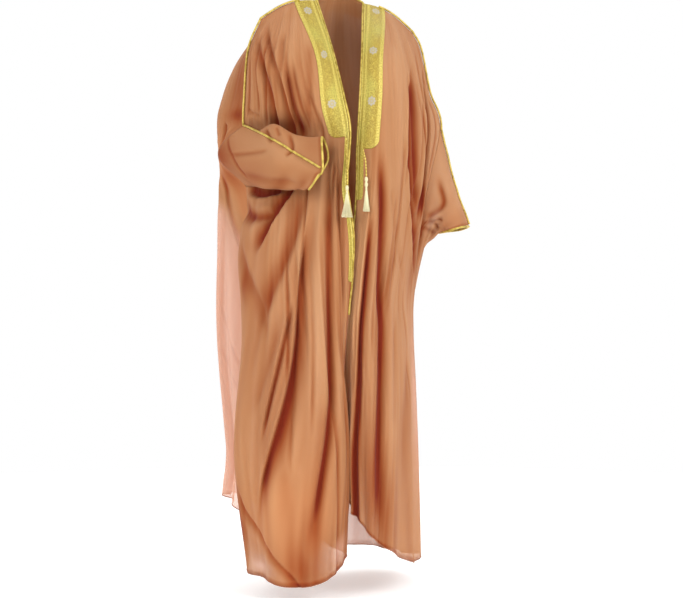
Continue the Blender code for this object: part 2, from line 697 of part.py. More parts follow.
def add_tassel(bench, side):
    """A tassel: its knots, its bound head and the free threads, grown from one body."""
    cord = CORDS[side]
    body = bmesh.new()
    bmesh.ops.create_cone(body, cap_ends=True, segments=8, radius1=SKIRT_FOOT_RADIUS,
                          radius2=SKIRT_CROWN_RADIUS, depth=SKIRT_HEAD)
    top = max(body.faces, key=lambda face: face.calc_center_median().z)
    half = KNOT_HEIGHT / 2
    for _ in range(cord.knots):
        for rise, radius in ((0.25 * half, 1.0), (half, 1.0), (0.4 * half, 0.55), (0.35 * half, 0.55)):
            top = bmesh.ops.extrude_discrete_faces(body, faces=[top])["faces"][0]
            centre = top.calc_center_median()
            present = (top.verts[0].co - centre).length
            for vert in top.verts:
                vert.co = centre + (vert.co - centre) * (KNOT_RADIUS * radius / present)
                vert.co.z += rise
    foot = min(body.faces, key=lambda face: face.calc_center_median().z)
    spokes = bmesh.ops.poke(body, faces=[foot])["faces"]
    edges = list({edge for face in spokes for edge in face.edges})
    bmesh.ops.subdivide_edges(body, edges=edges, cuts=1, use_grid_fill=True)
    low = -SKIRT_HEAD / 2
    floor = [face for face in body.faces if all(abs(vert.co.z - low) < 1.0e-5 for vert in face.verts)]
    bmesh.ops.inset_individual(body, faces=floor, thickness=THREAD_PARTING)
    threads = bmesh.ops.extrude_discrete_faces(body, faces=floor)["faces"]
    for number, thread in enumerate(threads):
        centre = thread.calc_center_median()
        spread = cord.tassel_spread * MM / SKIRT_FOOT_RADIUS
        drop = cord.tassel_length * MM - SKIRT_HEAD - 0.002 * (number % 3)
        for vert in thread.verts:
            vert.co.x += centre.x * (spread - 1)
            vert.co.y += centre.y * (spread - 1) * 0.8
            vert.co.z -= drop
    bmesh.ops.recalc_face_normals(body, faces=body.faces)
    crown = max(vert.co.z for vert in body.verts)
    end = Vector(cord.points[-1]) * MM
    bmesh.ops.translate(body, verts=body.verts, vec=end - Vector((0, 0, crown + GAP)))
    mesh = bpy.data.meshes.new("tassel_" + side)
    body.to_mesh(mesh)
    body.free()
    bench.add("tassel_" + side, mesh, "tassel")


def build():
    """Make every piece of the cloak."""
    for thing in list(bpy.data.objects):
        bpy.data.objects.remove(thing, do_unlink=True)
    bench = Bench()
    back_points, back_outs = panel_points("back", back_grid())
    bench.add("back", wall_mesh("back", parted(back_points, {"first": True, "last": True, "top": True}, gap=SHOULDER_GAP),
                                back_outs, CLOTH), "cloth")
    neck_columns = [round(BACK_COLUMNS * share) for share in NECK_BAND_SPAN]
    add_strip(bench, "band_neck", back_points, back_outs, (0, 1), neck_columns, {"top": True})
    for side in ("right", "left"):
        points, outs = panel_points(side, front_grid(side))
        seam = "last" if side == "right" else "first"
        name = "front_" + side
        bench.add(name, wall_mesh(name, parted(points, {seam: True, "top": True}), outs, CLOTH), "cloth")
        under_band = ((0, BAND_COLUMNS) if side == "right"
                      else (FRONT_COLUMNS - BAND_COLUMNS, FRONT_COLUMNS))
        add_strip(bench, "band_" + side, points, outs, (0, row_index(BAND_END_ROW[side])), under_band,
                  {"top": True})
        if side == "left":
            tail_rows = (row_index(BAND_END_ROW[side]), row_index(TAIL_END_ROW))
            add_strip(bench, "tail_left", points, outs, tail_rows, (FRONT_COLUMNS - 1, FRONT_COLUMNS),
                      {"top": True})
        add_edging(bench, side, points, back_points)
        add_arm_piping(bench, side)
        add_sleeve(bench, side)
        add_cord(bench, side)
        add_tassel(bench, side)


build()
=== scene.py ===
"""A worn bisht cloak: sheer panels, zari bands, gold piping, sleeve ends and tassels.

The wearer faces -Y and their left is +X. Tables are in millimetres, everything that is
built from them is in metres, and a row of a panel is a place between its sections, from
0 at the shoulder to 9 at the hem.
"""
import logging
import math
from dataclasses import dataclass
from enum import Enum
from typing import Callable, ClassVar, NamedTuple, Sequence

import bmesh
import bpy
import numpy as np
from mathutils import Matrix, Vector


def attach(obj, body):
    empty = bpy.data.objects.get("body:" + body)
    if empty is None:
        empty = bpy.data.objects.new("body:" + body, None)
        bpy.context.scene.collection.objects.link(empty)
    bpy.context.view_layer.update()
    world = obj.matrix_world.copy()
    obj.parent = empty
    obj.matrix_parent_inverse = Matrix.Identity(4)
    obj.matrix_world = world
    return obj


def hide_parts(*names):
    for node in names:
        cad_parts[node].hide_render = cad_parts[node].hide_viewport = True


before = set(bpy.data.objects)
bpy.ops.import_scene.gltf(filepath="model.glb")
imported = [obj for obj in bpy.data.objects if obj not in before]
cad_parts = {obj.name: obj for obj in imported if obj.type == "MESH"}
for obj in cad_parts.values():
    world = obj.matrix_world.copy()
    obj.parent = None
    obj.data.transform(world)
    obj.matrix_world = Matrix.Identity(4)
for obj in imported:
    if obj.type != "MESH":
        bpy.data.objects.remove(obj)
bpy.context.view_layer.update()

LOG = logging.getLogger("bisht")
MM = 0.001
Array = np.ndarray
Mesh, Object = bpy.types.Mesh, bpy.types.Object
Material, Socket = bpy.types.Material, bpy.types.NodeSocket
Triple = tuple[float, float, float]
Colour = tuple[float, float, float]

# ---- sizes that several pieces share -----------------------------------------------
BAND_WIDTH, BAND_HEIGHT = 0.058, 0.0019
ZARI_RELIEF = 0.0007
PIPING_RADIUS = 0.0028
CORD_DIAMETER = 0.0045
CLOTH_THICKNESS, ZARI_THICKNESS = 0.0006, 0.0012
# how far the piping stands off the cloth, and its middle off a cuff's rim
CLEARANCE, CUFF_CLEARANCE = 0.0006, 0.0022
# points that are nearer to each other than this are one
SAME_POINT = 1.0e-6
SHOULDER_CROWN = 0.016
# the places across the back between which the neck lies
NECK_SPAN = (2 / 6, 4 / 6)
# rows of the panels, and how a slope is measured near their edges
ELBOW_ROW, UNDERARM_ROW, LAST_ROW = 3, 5, 9
NORMAL_STEP, NORMAL_INSET = 1.0e-3, 0.025
# a fold's steps between two stops, its reach in half widths, and the shares of it that fade
FOLD_STEPS, FOLD_REACH, FOLD_FADE = 5, 3.6, 0.22
# the lips beside a fold: their height and their place, and how strong their painted highlight is
FOLD_LIP, FOLD_LIP_AT, FOLD_LIP_HIGHLIGHT = 0.26, 1.9, 0.10
# the depth in millimetres at which a fold has its whole painted shade
FULL_DEPTH = 20


class Side(Enum):
    """Which of the wearer's sides a piece is on."""

    RIGHT = "right"
    LEFT = "left"

    @property
    def out(self) -> int:
        """The way out from the middle along X: -1 on the right, 1 on the left."""
        return -1 if self is Side.RIGHT else 1


class Face(Enum):
    """Whether a line on the armhole belongs to the front or to the back."""

    FRONT = "front"
    BACK = "back"


# ---- the lines and sections that the panels share ----------------------------------
NECK: dict[Side, Triple] = {Side.RIGHT: (-70, 0, 0), Side.LEFT: (62, 0, -2)}
NAPE: Triple = (0, 58, 34)
# the row where each front edge's piping ends
EDGING_END: dict[Side, float] = {Side.RIGHT: 6.75, Side.LEFT: 5.75}

# shoulder tip, two on the upper arm, elbow, armhole, underarm, four on the side seam
SIDE_LINE: dict[Side, tuple[Triple, ...]] = {
    Side.RIGHT: ((-215, 0, -55), (-247, 1, -135), (-255, 11, -256), (-256, 20, -327), (-246, 38, -402),
                 (-240, 57, -478), (-225, 73, -642), (-216, 70, -870), (-225, 73, -1150), (-225, 73, -1336)),
    Side.LEFT: ((195, 0, -71), (215, -7, -115), (232, -26, -227), (254, -51, -328), (227, -32, -536),
                (199, -12, -742), (202, 8, -851), (212, 15, -1009), (219, 13, -1220), (218, 3, -1435)),
}
# how far the armhole's front and back lines stand off the side line, halfway down
ARMHOLE: dict[Side, dict[Face, Triple]] = {
    Side.RIGHT: {Face.FRONT: (20, 25, 0), Face.BACK: (-54, 75, 8)},
    Side.LEFT: {Face.FRONT: (-40, -75, 0), Face.BACK: (34, 73, 0)},
}
# a row for each section of a front: free edge, breast, middle, flank, turn
FRONT_SECTIONS: dict[Side, tuple[tuple[Triple, ...], ...]] = {
    Side.RIGHT: (
        ((-61, -106, -141), (-109, -128, -156), (-168, -119, -165), (-215, -83, -160), (-241, -43, -145)),
        ((-55, -182, -270), (-94, -180, -281), (-157, -149, -285), (-208, -95, -279), (-239, -38, -266)),
        ((-49, -210, -347), (-75, -186, -353), (-128, -122, -351), (-182, -41, -340), (-223, 4, -332)),
        ((-51, -209, -419), (-74, -176, -419), (-123, -107, -420), (-175, -22, -415), (-206, 25, -407)),
        ((-52, -199, -492), (-79, -174, -494), (-132, -120, -496), (-187, -39, -493), (-224, 20, -485)),
        ((-38, -209, -643), (-95, -216, -651), (-165, -194, -654), (-242, -121, -647), (-278, -15, -645)),
        ((-51, -197, -870), (-87, -224, -874), (-165, -220, -881), (-247, -151, -875), (-278, -36, -872)),
        ((-50, -142, -1142), (-50, -208, -1146), (-173, -228, -1156), (-266, -145, -1153), (-295, -20, -1151)),
        ((-72, -104, -1379), (-48, -186, -1422), (-162, -210, -1476), (-247, -130, -1460), (-259, -21, -1440)),
    ),
    Side.LEFT: (
        ((13, -136, -142), (37, -165, -145), (80, -157, -147), (125, -130, -146), (172, -77, -135)),
        ((-6, -177, -265), (27, -209, -268), (80, -194, -264), (131, -158, -258), (178, -110, -246)),
        ((-19, -192, -394), (16, -228, -394), (71, -212, -379), (126, -178, -369), (189, -125, -352)),
        ((-22, -192, -523), (8, -234, -530), (58, -219, -538), (108, -182, -541), (160, -136, -543)),
        ((-39, -181, -741), (-11, -222, -744), (34, -211, -747), (84, -175, -749), (142, -99, -749)),
        ((-48, -178, -839), (-18, -219, -845), (30, -215, -851), (87, -175, -852), (150, -91, -851)),
        ((-49, -163, -988), (-20, -219, -993), (29, -220, -999), (90, -182, -1002), (157, -93, -1005)),
        ((-43, -163, -1130), (-23, -212, -1154), (25, -224, -1172), (91, -187, -1190), (162, -95, -1208)),
        ((-38, -156, -1276), (-16, -204, -1326), (22, -223, -1370), (87, -197, -1411), (164, -106, -1443)),
    ),
}
# a row for each section of the back: right wing, right blade, spine, left blade, left wing
BACK_SECTIONS: tuple[tuple[Triple, ...], ...] = (
    ((-242, 110, -146), (-150, 115, -120), (0, 130, -100), (130, 115, -125), (225, 60, -125)),
    ((-290, 116, -256), (-190, 165, -250), (0, 165, -250), (160, 150, -270), (265, 85, -240)),
    ((-298, 128, -318), (-200, 185, -330), (0, 175, -350), (175, 165, -370), (285, 75, -340)),
    ((-272, 183, -402), (-200, 195, -410), (0, 185, -450), (175, 170, -490), (250, 140, -530)),
    ((-285, 156, -483), (-190, 200, -490), (0, 190, -560), (165, 175, -620), (225, 100, -700)),
    ((-290, 157, -646), (-185, 210, -660), (0, 205, -720), (165, 195, -780), (230, 120, -850)),
    ((-286, 167, -877), (-190, 215, -880), (0, 225, -930), (175, 220, -980), (235, 140, -1000)),
    ((-262, 155, -1165), (-190, 225, -1150), (0, 240, -1180), (185, 235, -1220), (240, 150, -1220)),
    ((-265, 181, -1287), (-190, 238, -1300), (0, 250, -1420), (190, 245, -1450), (245, 155, -1460)),
)
# a ring of a sleeve, from its piping forward and down, under, and up behind
SLEEVE_RINGS: dict[Side, tuple[tuple[Triple, ...], ...]] = {
    Side.RIGHT: (
        ((-222, -107, -368), (-210, -74, -332), (-196, -31, -391), (-215, -62, -487), (-230, -99, -467),
         (-231, -120, -419)),
        ((-174, -180, -413), (-160, -143, -364), (-146, -105, -415), (-167, -130, -493), (-180, -167, -478),
         (-181, -188, -445)),
        ((-129, -242, -452), (-122, -213, -372), (-96, -179, -425), (-149, -199, -496), (-149, -227, -488),
         (-140, -238, -469)),
    ),
    Side.LEFT: (
        ((279, -85, -471), (251, -129, -505), (215, -122, -572), (203, -45, -647), (256, 6, -574),
         (287, -15, -508)),
        ((309, -111, -580), (273, -157, -583), (237, -150, -593), (237, -87, -596), (274, -42, -591),
         (311, -48, -586)),
    ),
}


# ---- smooth lines ------------------------------------------------------------------
def ease(value: Array | float) -> Array:
    """The value held between 0 and 1, eased at both ends."""
    held = np.clip(value, 0.0, 1.0)
    return held * held * (3 - 2 * held)


def bell(value: Array, middle: float, width: float) -> Array:
    """A smooth bump of height 1 round a middle."""
    return np.exp(-((value - middle) / width) ** 2)


def unit(vectors: Array) -> Array:
    """The vectors at length one."""
    return vectors / np.maximum(np.linalg.norm(vectors, axis=-1, keepdims=True), 1.0e-9)


def paces(points: Array) -> Array:
    """How far along a line each of its points lies."""
    return np.concatenate([[0.0], np.cumsum(np.linalg.norm(np.diff(points, axis=0), axis=1))])


def smoothed(ways: Array, times: int) -> Array:
    """The directions along a line, each drawn towards its neighbours that many times.

    Args:
        ways: the directions, which it changes.
        times: how often each is drawn.

    Returns:
        The directions.
    """
    for _ in range(times):
        ways[1:-1] = unit(ways[:-2] + 2 * ways[1:-1] + ways[2:])
    return ways


def spline_weights(count: int, places: Array) -> Array:
    """How much of each knot of a smooth line makes the point at each place.

    Args:
        count: the number of equally spaced knots.
        places: places along the line, from 0 to count - 1.

    Returns:
        One row of weights for each place.
    """
    step = np.clip(places.astype(int), 0, count - 2)
    t = places - step
    shares = (-t + 2 * t ** 2 - t ** 3, 2 - 5 * t ** 2 + 3 * t ** 3,
              t + 4 * t ** 2 - 3 * t ** 3, t ** 3 - t ** 2)
    weights = np.zeros((len(places), count + 2))
    order = np.arange(len(places))
    for ahead, share in enumerate(shares):
        weights[order, step + ahead] = 0.5 * share
    inner = weights[:, 1:-1].copy()
    inner[:, 0] += 2 * weights[:, 0]
    inner[:, 1] -= weights[:, 0]
    inner[:, -1] += 2 * weights[:, -1]
    inner[:, -2] -= weights[:, -1]
    return inner


def smooth_line(knots: Array, places: Array) -> Array:
    """The points at places along the smooth line through the knots."""
    return spline_weights(len(knots), places) @ knots


def metres(rows: Sequence) -> Array:
    """A table in millimetres as an array in metres."""
    return np.array(rows, dtype=float) * MM


class Wander:
    """Smooth seeded noise over a sheet, from -1 to 1, for what no two yards of cloth share."""

    def __init__(self, seed: int, across: int, down: int) -> None:
        """Draw the knots of the noise.

        Args:
            seed: what the draw starts from.
            across: the number of knots across the sheet.
            down: the number of knots down it.
        """
        self.knots = np.random.default_rng(seed).uniform(-1.0, 1.0, (down + 3, across + 3))
        self.across, self.down = across, down

    def at(self, u: Array, v: Array) -> Array:
        """The noise at places across and down the sheet, each from 0 to 1.

        Args:
            u: places across.
            v: places down.

        Returns:
            The noise at each place.
        """
        over = spline_weights(self.across + 3, np.clip(u, 0, 1) * self.across + 1)
        along = spline_weights(self.down + 3, np.clip(v, 0, 1) * self.down + 1)
        return np.einsum("nd,da,na->n", along, self.knots, over)


# ---- the worn form -----------------------------------------------------------------
def side_line(side: Side, row: Array, face: Face) -> Array:
    """The line down the arm and side, parted into the armhole's two lines in between.

    Args:
        side: the wearer's side.
        row: places down it, by row.
        face: which of the two lines to follow.

    Returns:
        The points.
    """
    line = smooth_line(metres(SIDE_LINE[side]), row)
    down = (row - ELBOW_ROW) / (UNDERARM_ROW - ELBOW_ROW)
    swell = np.where((down > 0) & (down < 1), np.sin(math.pi * np.clip(down, 0, 1)), 0.0)
    return line + swell[:, None] * metres(ARMHOLE[side][face])


def shoulder_line(side: Side, across: Array) -> Array:
    """The shoulder seam, from the neck to the tip.

    Args:
        side: the wearer's side.
        across: places along it, from the neck at 0.

    Returns:
        The points.
    """
    neck, tip = metres(NECK[side]), metres(SIDE_LINE[side][0])
    line = neck + (tip - neck) * across[:, None]
    line[:, 2] += SHOULDER_CROWN * np.sin(math.pi * across)
    return line


def neck_line(across: Array) -> Array:
    """The back's top edge, right tip to neck, nape and left tip.

    Args:
        across: places along it, from the right tip at 0.

    Returns:
        The points.
    """
    low, high = NECK_SPAN
    right, left = metres(NECK[Side.RIGHT]), metres(NECK[Side.LEFT])
    turn = np.clip((across - low) / (high - low), 0, 1)
    rise = metres(NAPE) - (right + left) / 2
    line = right + (left - right) * turn[:, None] + np.sin(math.pi * turn)[:, None] * rise
    on_right, on_left = across <= low, across >= high
    line[on_right] = shoulder_line(Side.RIGHT, 1 - across[on_right] / low)
    line[on_left] = shoulder_line(Side.LEFT, (across[on_left] - high) / (1 - high))
    return line


class Fold(NamedTuple):
    """A valley in a sheet: its way as (row, across) stops, and its size in mm.

    The widths are its half widths on the right and on the left of its way as it runs, seen
    from outside; the lean is how far its floor slides to the left for each mm of depth, and
    the last number is how much painted shade its depth puts in its valley, partly the deeper
    colour of layered cloth, with a painted highlight on its lips.
    """

    way: tuple[tuple[float, float], ...]
    depth: float
    widths: tuple[float, float]
    lean: float = 0.0
    tone: float = 1.0


class Patch(NamedTuple):
    """A soft spot on a sheet: its middle, how far it reaches, and how strong it is."""

    row: float
    across: float
    tall: float
    wide: float
    strength: float


class Draped(NamedTuple):
    """Points of a draped sheet, the way each faces, and its painted shade from 0 to 1, partly the deeper colour of
    gathered cloth.
    """

    points: Array
    normals: Array
    shade: Array


def small_folds(seed: int, count: int, span: tuple[float, float], starts: tuple[float, float],
                lengths: tuple[float, float] = (2.0, 4.6)) -> tuple[Fold, ...]:
    """Fine creases that run down between the great folds.

    Args:
        seed: what the draw starts from.
        count: how many creases.
        span: the places across that they lie between.
        starts: the rows that they start between.
        lengths: how many rows long they are, at least and at most.

    Returns:
        The creases.
    """
    draw = np.random.default_rng(seed)
    folds = []
    for number in range(count):
        across = span[0] + (span[1] - span[0]) * (number + draw.uniform(0.1, 0.9)) / count
        start, length, drift = draw.uniform(*starts), draw.uniform(*lengths), draw.uniform(-0.03, 0.03)
        sway = draw.uniform(-0.010, 0.010)
        way = tuple((start + length * share, across + drift * share + sway * math.sin(2 * math.pi * share))
                    for share in (0.0, 0.25, 0.5, 0.75, 1.0))
        widths = (draw.uniform(3.0, 5.0), draw.uniform(5.0, 10.0))
        depth = draw.uniform(1.5, 4.0)
        folds.append(Fold(way, depth, widths if draw.random() < 0.5 else widths[::-1], tone=2.2))
    return tuple(folds)


def softened(way: Sequence[tuple[float, float]]) -> tuple[Array, Array]:
    """Points along a way with its corners rounded off, as rows and places across.

    Args:
        way: its stops, each a row and a place across.

    Returns:
        The rows and the places across.
    """
    stops = np.array(way, dtype=float)
    counts = np.arange(len(stops))
    places = np.linspace(0, len(stops) - 1, FOLD_STEPS * (len(stops) - 1) + 1)
    line = np.stack([np.interp(places, counts, stops[:, k]) for k in (0, 1)], axis=1)
    for _ in range(2 * FOLD_STEPS):
        line[1:-1] = (line[:-2] + 2 * line[1:-1] + line[2:]) / 4
    return line[:, 0], line[:, 1]


def blots(patches: Sequence[Patch], across: Array, row: Array) -> Array:
    """How strong all of a sheet's patches are together at each place.

    Args:
        patches: the sheet's patches.
        across: places across it.
        row: places down it.

    Returns:
        The strength at each place.
    """
    total = np.zeros_like(row)
    for patch in patches:
        total += patch.strength * bell(row, patch.row, patch.tall) * bell(across, patch.across, patch.wide)
    return total


@dataclass
class Form:
    """A smooth sheet in space, and the folds that fall over it."""

    folds: tuple[Fold, ...] = ()
    # patches of painted shade on the sheet, below 0 painted light
    shades: tuple[Patch, ...] = ()
    # how far a fold may bow out of the box round its stops
    sway: float = 0.02

    def base(self, across: Array, row: Array) -> Array:
        """The sheet before its folds."""
        raise NotImplementedError

    def normal(self, across: Array, row: Array) -> Array:
        """The outward direction of the base."""
        raise NotImplementedError

    def crease(self, fold: Fold, spots: Array) -> tuple[Array, Array, Array]:
        """Find the place of a fold's way that is nearest to each spot.

        Args:
            fold: the fold.
            spots: points of the base.

        Returns:
            The distance off the way, above 0 to its left as it runs, the place along it
            from 0 to 1, and the direction to its left.
        """
        rows, across = softened(fold.way)
        line, outward = self.base(across, rows), self.normal(across, rows)
        gaps, off, share = np.full(len(spots), np.inf), np.zeros(len(spots)), np.zeros(len(spots))
        asides = np.zeros_like(spots)
        for step, (start, end) in enumerate(zip(line, line[1:])):
            run = end - start
            away = spots - start
            part = np.clip(away @ run / (run @ run), 0, 1)
            away = away - part[:, None] * run
            gap = np.linalg.norm(away, axis=1)
            aside = unit(np.cross(outward[step], run))
            near = gap < gaps
            gaps[near], asides[near] = gap[near], aside
            off[near] = (gap * np.sign(away @ aside))[near]
            share[near] = (step + part[near]) / (len(line) - 1)
        return off, share, asides

    def press(self, spots: Array, normals: Array) -> tuple[Array, Array]:
        """Press the folds into the sheet.

        Args:
            spots: points of the base.
            normals: its outward direction at each.

        Returns:
            How far each point moves, and its painted shade in the valleys less the painted highlight on the lips.
        """
        shift, dark, light = np.zeros_like(spots), np.zeros(len(spots)), np.zeros(len(spots))
        for fold in self.folds:
            stops = np.array(fold.way, dtype=float)
            line = self.base(stops[:, 1], stops[:, 0])
            margin = FOLD_REACH * max(fold.widths) * MM + self.sway
            close = np.all((spots > line.min(axis=0) - margin) & (spots < line.max(axis=0) + margin), axis=1)
            if not close.any():
                continue
            off, share, asides = self.crease(fold, spots[close])
            fade = ease(share / FOLD_FADE)
            if fold.way[-1][0] < LAST_ROW:
                fade = fade * ease((1 - share) / FOLD_FADE)
            reach = off / (np.where(off < 0, *fold.widths) * MM)
            valley, lips = np.exp(-reach ** 2), np.exp(-(np.abs(reach) - FOLD_LIP_AT) ** 2)
            depth = (fold.depth * MM * fade * (valley - FOLD_LIP * lips))[:, None]
            shift[close] += depth * (fold.lean * asides - normals[close])
            strength = fold.tone * fade * min(1.0, fold.depth / FULL_DEPTH)
            dark[close] = np.maximum(dark[close], strength * valley)
            light[close] = np.maximum(light[close], FOLD_LIP_HIGHLIGHT * strength * lips)
        return shift, dark - light


@dataclass
class Panel(Form):
    """A panel of the cloak: its seams, its width in metres, and the small folds over it.

    Facing is 1 where the direction across, crossed with the one down, points outward, and
    -1 where it points inward.
    """

    seams: tuple[float, ...] = (1.0,)
    width: float = 0.5
    # the waves at the hem: their number, their height and the row where they start
    waves: int = 5
    wave_height: float = 0.007
    wave_row: float = 5.5
    # the small folds: their height, how far they drift, and their three lengths
    ripple: float = 0.0016
    drift: float = 0.05
    broad: float = 0.085
    fine: float = 0.036
    thin: float = 0.019
    # how near a seam the folds lie flat, and how near they lose their painted shade
    seam_calm: float = 0.035
    seam_pale: float = 0.010
    seed: int = 1
    facing: float = 1.0
    # the colour of flat cloth, how much clouds of seeded noise change it, and how much painted shade the small
    # folds give it
    plain: float = 0.30
    clouds: float = 0.10
    small_shade: float = 0.10
    # the row down to which a band lies on the free edge, and how far across it reaches
    banded: float = -1.0
    band_across: float = 0.25

    def top(self, across: Array) -> Array:
        """The panel's top edge."""
        raise NotImplementedError

    def lines(self, row: Array) -> tuple[Array, list[Array], list[Array]]:
        """The sections between the seams, and the seam lines before and after them."""
        raise NotImplementedError

    def base(self, across: Array, row: Array) -> Array:
        """The panel before its folds.

        Args:
            across: places across it, from 0 to 1.
            row: places down it, by row.

        Returns:
            The points.
        """
        sections, before, after = self.lines(row)
        count = len(before) + sections.shape[1] + len(after)
        tops = self.top(np.linspace(0, 1, count))
        knots = np.concatenate([tops[None, len(before):count - len(after)], sections])
        columns = np.einsum("nr,rkc->nkc", spline_weights(len(knots), row), knots)
        columns = np.concatenate([line[:, None] for line in before] + [columns]
                                 + [line[:, None] for line in after], axis=1)
        over = spline_weights(count, across * (count - 1))
        miss = self.top(across) - over @ tops
        fade = np.where(row < 1, 1 - ease(row), 0.0)
        return np.einsum("nk,nkc->nc", over, columns) + miss * fade[:, None]

    def normal(self, across: Array, row: Array) -> Array:
        """The outward direction of the base.

        Args:
            across: places across it, from 0 to 1.
            row: places down it, by row.

        Returns:
            The direction at each place.
        """
        across = np.clip(across, NORMAL_INSET, 1 - NORMAL_INSET)
        row = np.clip(row, 4 * NORMAL_INSET, LAST_ROW - NORMAL_INSET)
        run = self.base(across + NORMAL_STEP, row) - self.base(across - NORMAL_STEP, row)
        fall = self.base(across, row + NORMAL_STEP) - self.base(across, row - NORMAL_STEP)
        return unit(np.cross(run, fall)) * self.facing

    def ripples(self, across: Array, row: Array) -> Array:
        """The small folds that run down between the great ones.

        Args:
            across: places across it, from 0 to 1.
            row: places down it, by row.

        Returns:
            Their height at each place, about -1 to 1.
        """
        down = row / LAST_ROW
        reach = self.width * (across + self.drift * Wander(self.seed, 5, 6).at(across, down))
        broad, fine, thin = (
            np.sin(2 * math.pi * reach / length + bend * Wander(self.seed + more, *knots).at(across, down))
            for length, bend, more, knots in ((self.broad, 3, 1, (3, 4)), (self.fine, 5, 2, (4, 5)),
                                              (self.thin, 7, 4, (5, 6))))
        where = 0.55 + 0.45 * Wander(self.seed + 3, 6, 7).at(across, down)
        return where * (0.75 * broad + 0.4 * fine * (0.5 + down) + 0.35 * thin)

    def drape(self, across: Array, row: Array) -> Draped:
        """Hang the cloth over the base.

        Args:
            across: places across the panel, from 0 to 1.
            row: places down it, by row.

        Returns:
            The outer face, the way it looks, and its painted shade.
        """
        spots, normals = self.base(across, row), self.normal(across, row)
        shift, pressed = self.press(spots, normals)
        swell = ease((row - self.wave_row) / (LAST_ROW - self.wave_row))
        small = self.ripples(across, row)
        wave = np.sin(2 * math.pi * self.waves * across + 0.8)
        push = self.wave_height * swell * wave + self.ripple * small
        calm, near = ease(row / 0.5), ease(row / 0.3)
        for seam in self.seams:
            gap = np.abs(across - seam) * self.width
            calm, near = calm * ease(gap / self.seam_calm), near * ease(gap / self.seam_pale)
        calm = calm * np.maximum(ease((across - self.band_across) / 0.06), ease((row - self.banded) / 0.5))
        points = spots + (shift - normals * push[:, None]) * calm[:, None]
        cloudy = self.clouds * Wander(self.seed + 7, 4, 6).at(across, row / LAST_ROW)
        # painted shade from the small folds and from the sheet's patches, whose values below 0 paint light; the
        # clouds are seeded noise
        shade = self.plain + cloudy + self.small_shade * small + blots(self.shades, across, row)
        return Draped(points, normals, np.clip(shade + pressed * near, 0, 1))


@dataclass
class FrontPanel(Panel):
    """A front, across from its free edge to its side seam."""

    side: Side = Side.RIGHT

    def top(self, across: Array) -> Array:
        """The shoulder seam."""
        return shoulder_line(self.side, across)

    def lines(self, row: Array) -> tuple[Array, list[Array], list[Array]]:
        """The front's sections, with the side seam after them."""
        return metres(FRONT_SECTIONS[self.side]), [], [side_line(self.side, row, Face.FRONT)]


@dataclass
class BackPanel(Panel):
    """The back, across from its right seam to its left."""

    def top(self, across: Array) -> Array:
        """The shoulder seams and the neck between them."""
        return neck_line(across)

    def lines(self, row: Array) -> tuple[Array, list[Array], list[Array]]:
        """The back's sections, with a side seam on either side of them."""
        right, left = (side_line(side, row, Face.BACK) for side in Side)
        return metres(BACK_SECTIONS), [right], [left]


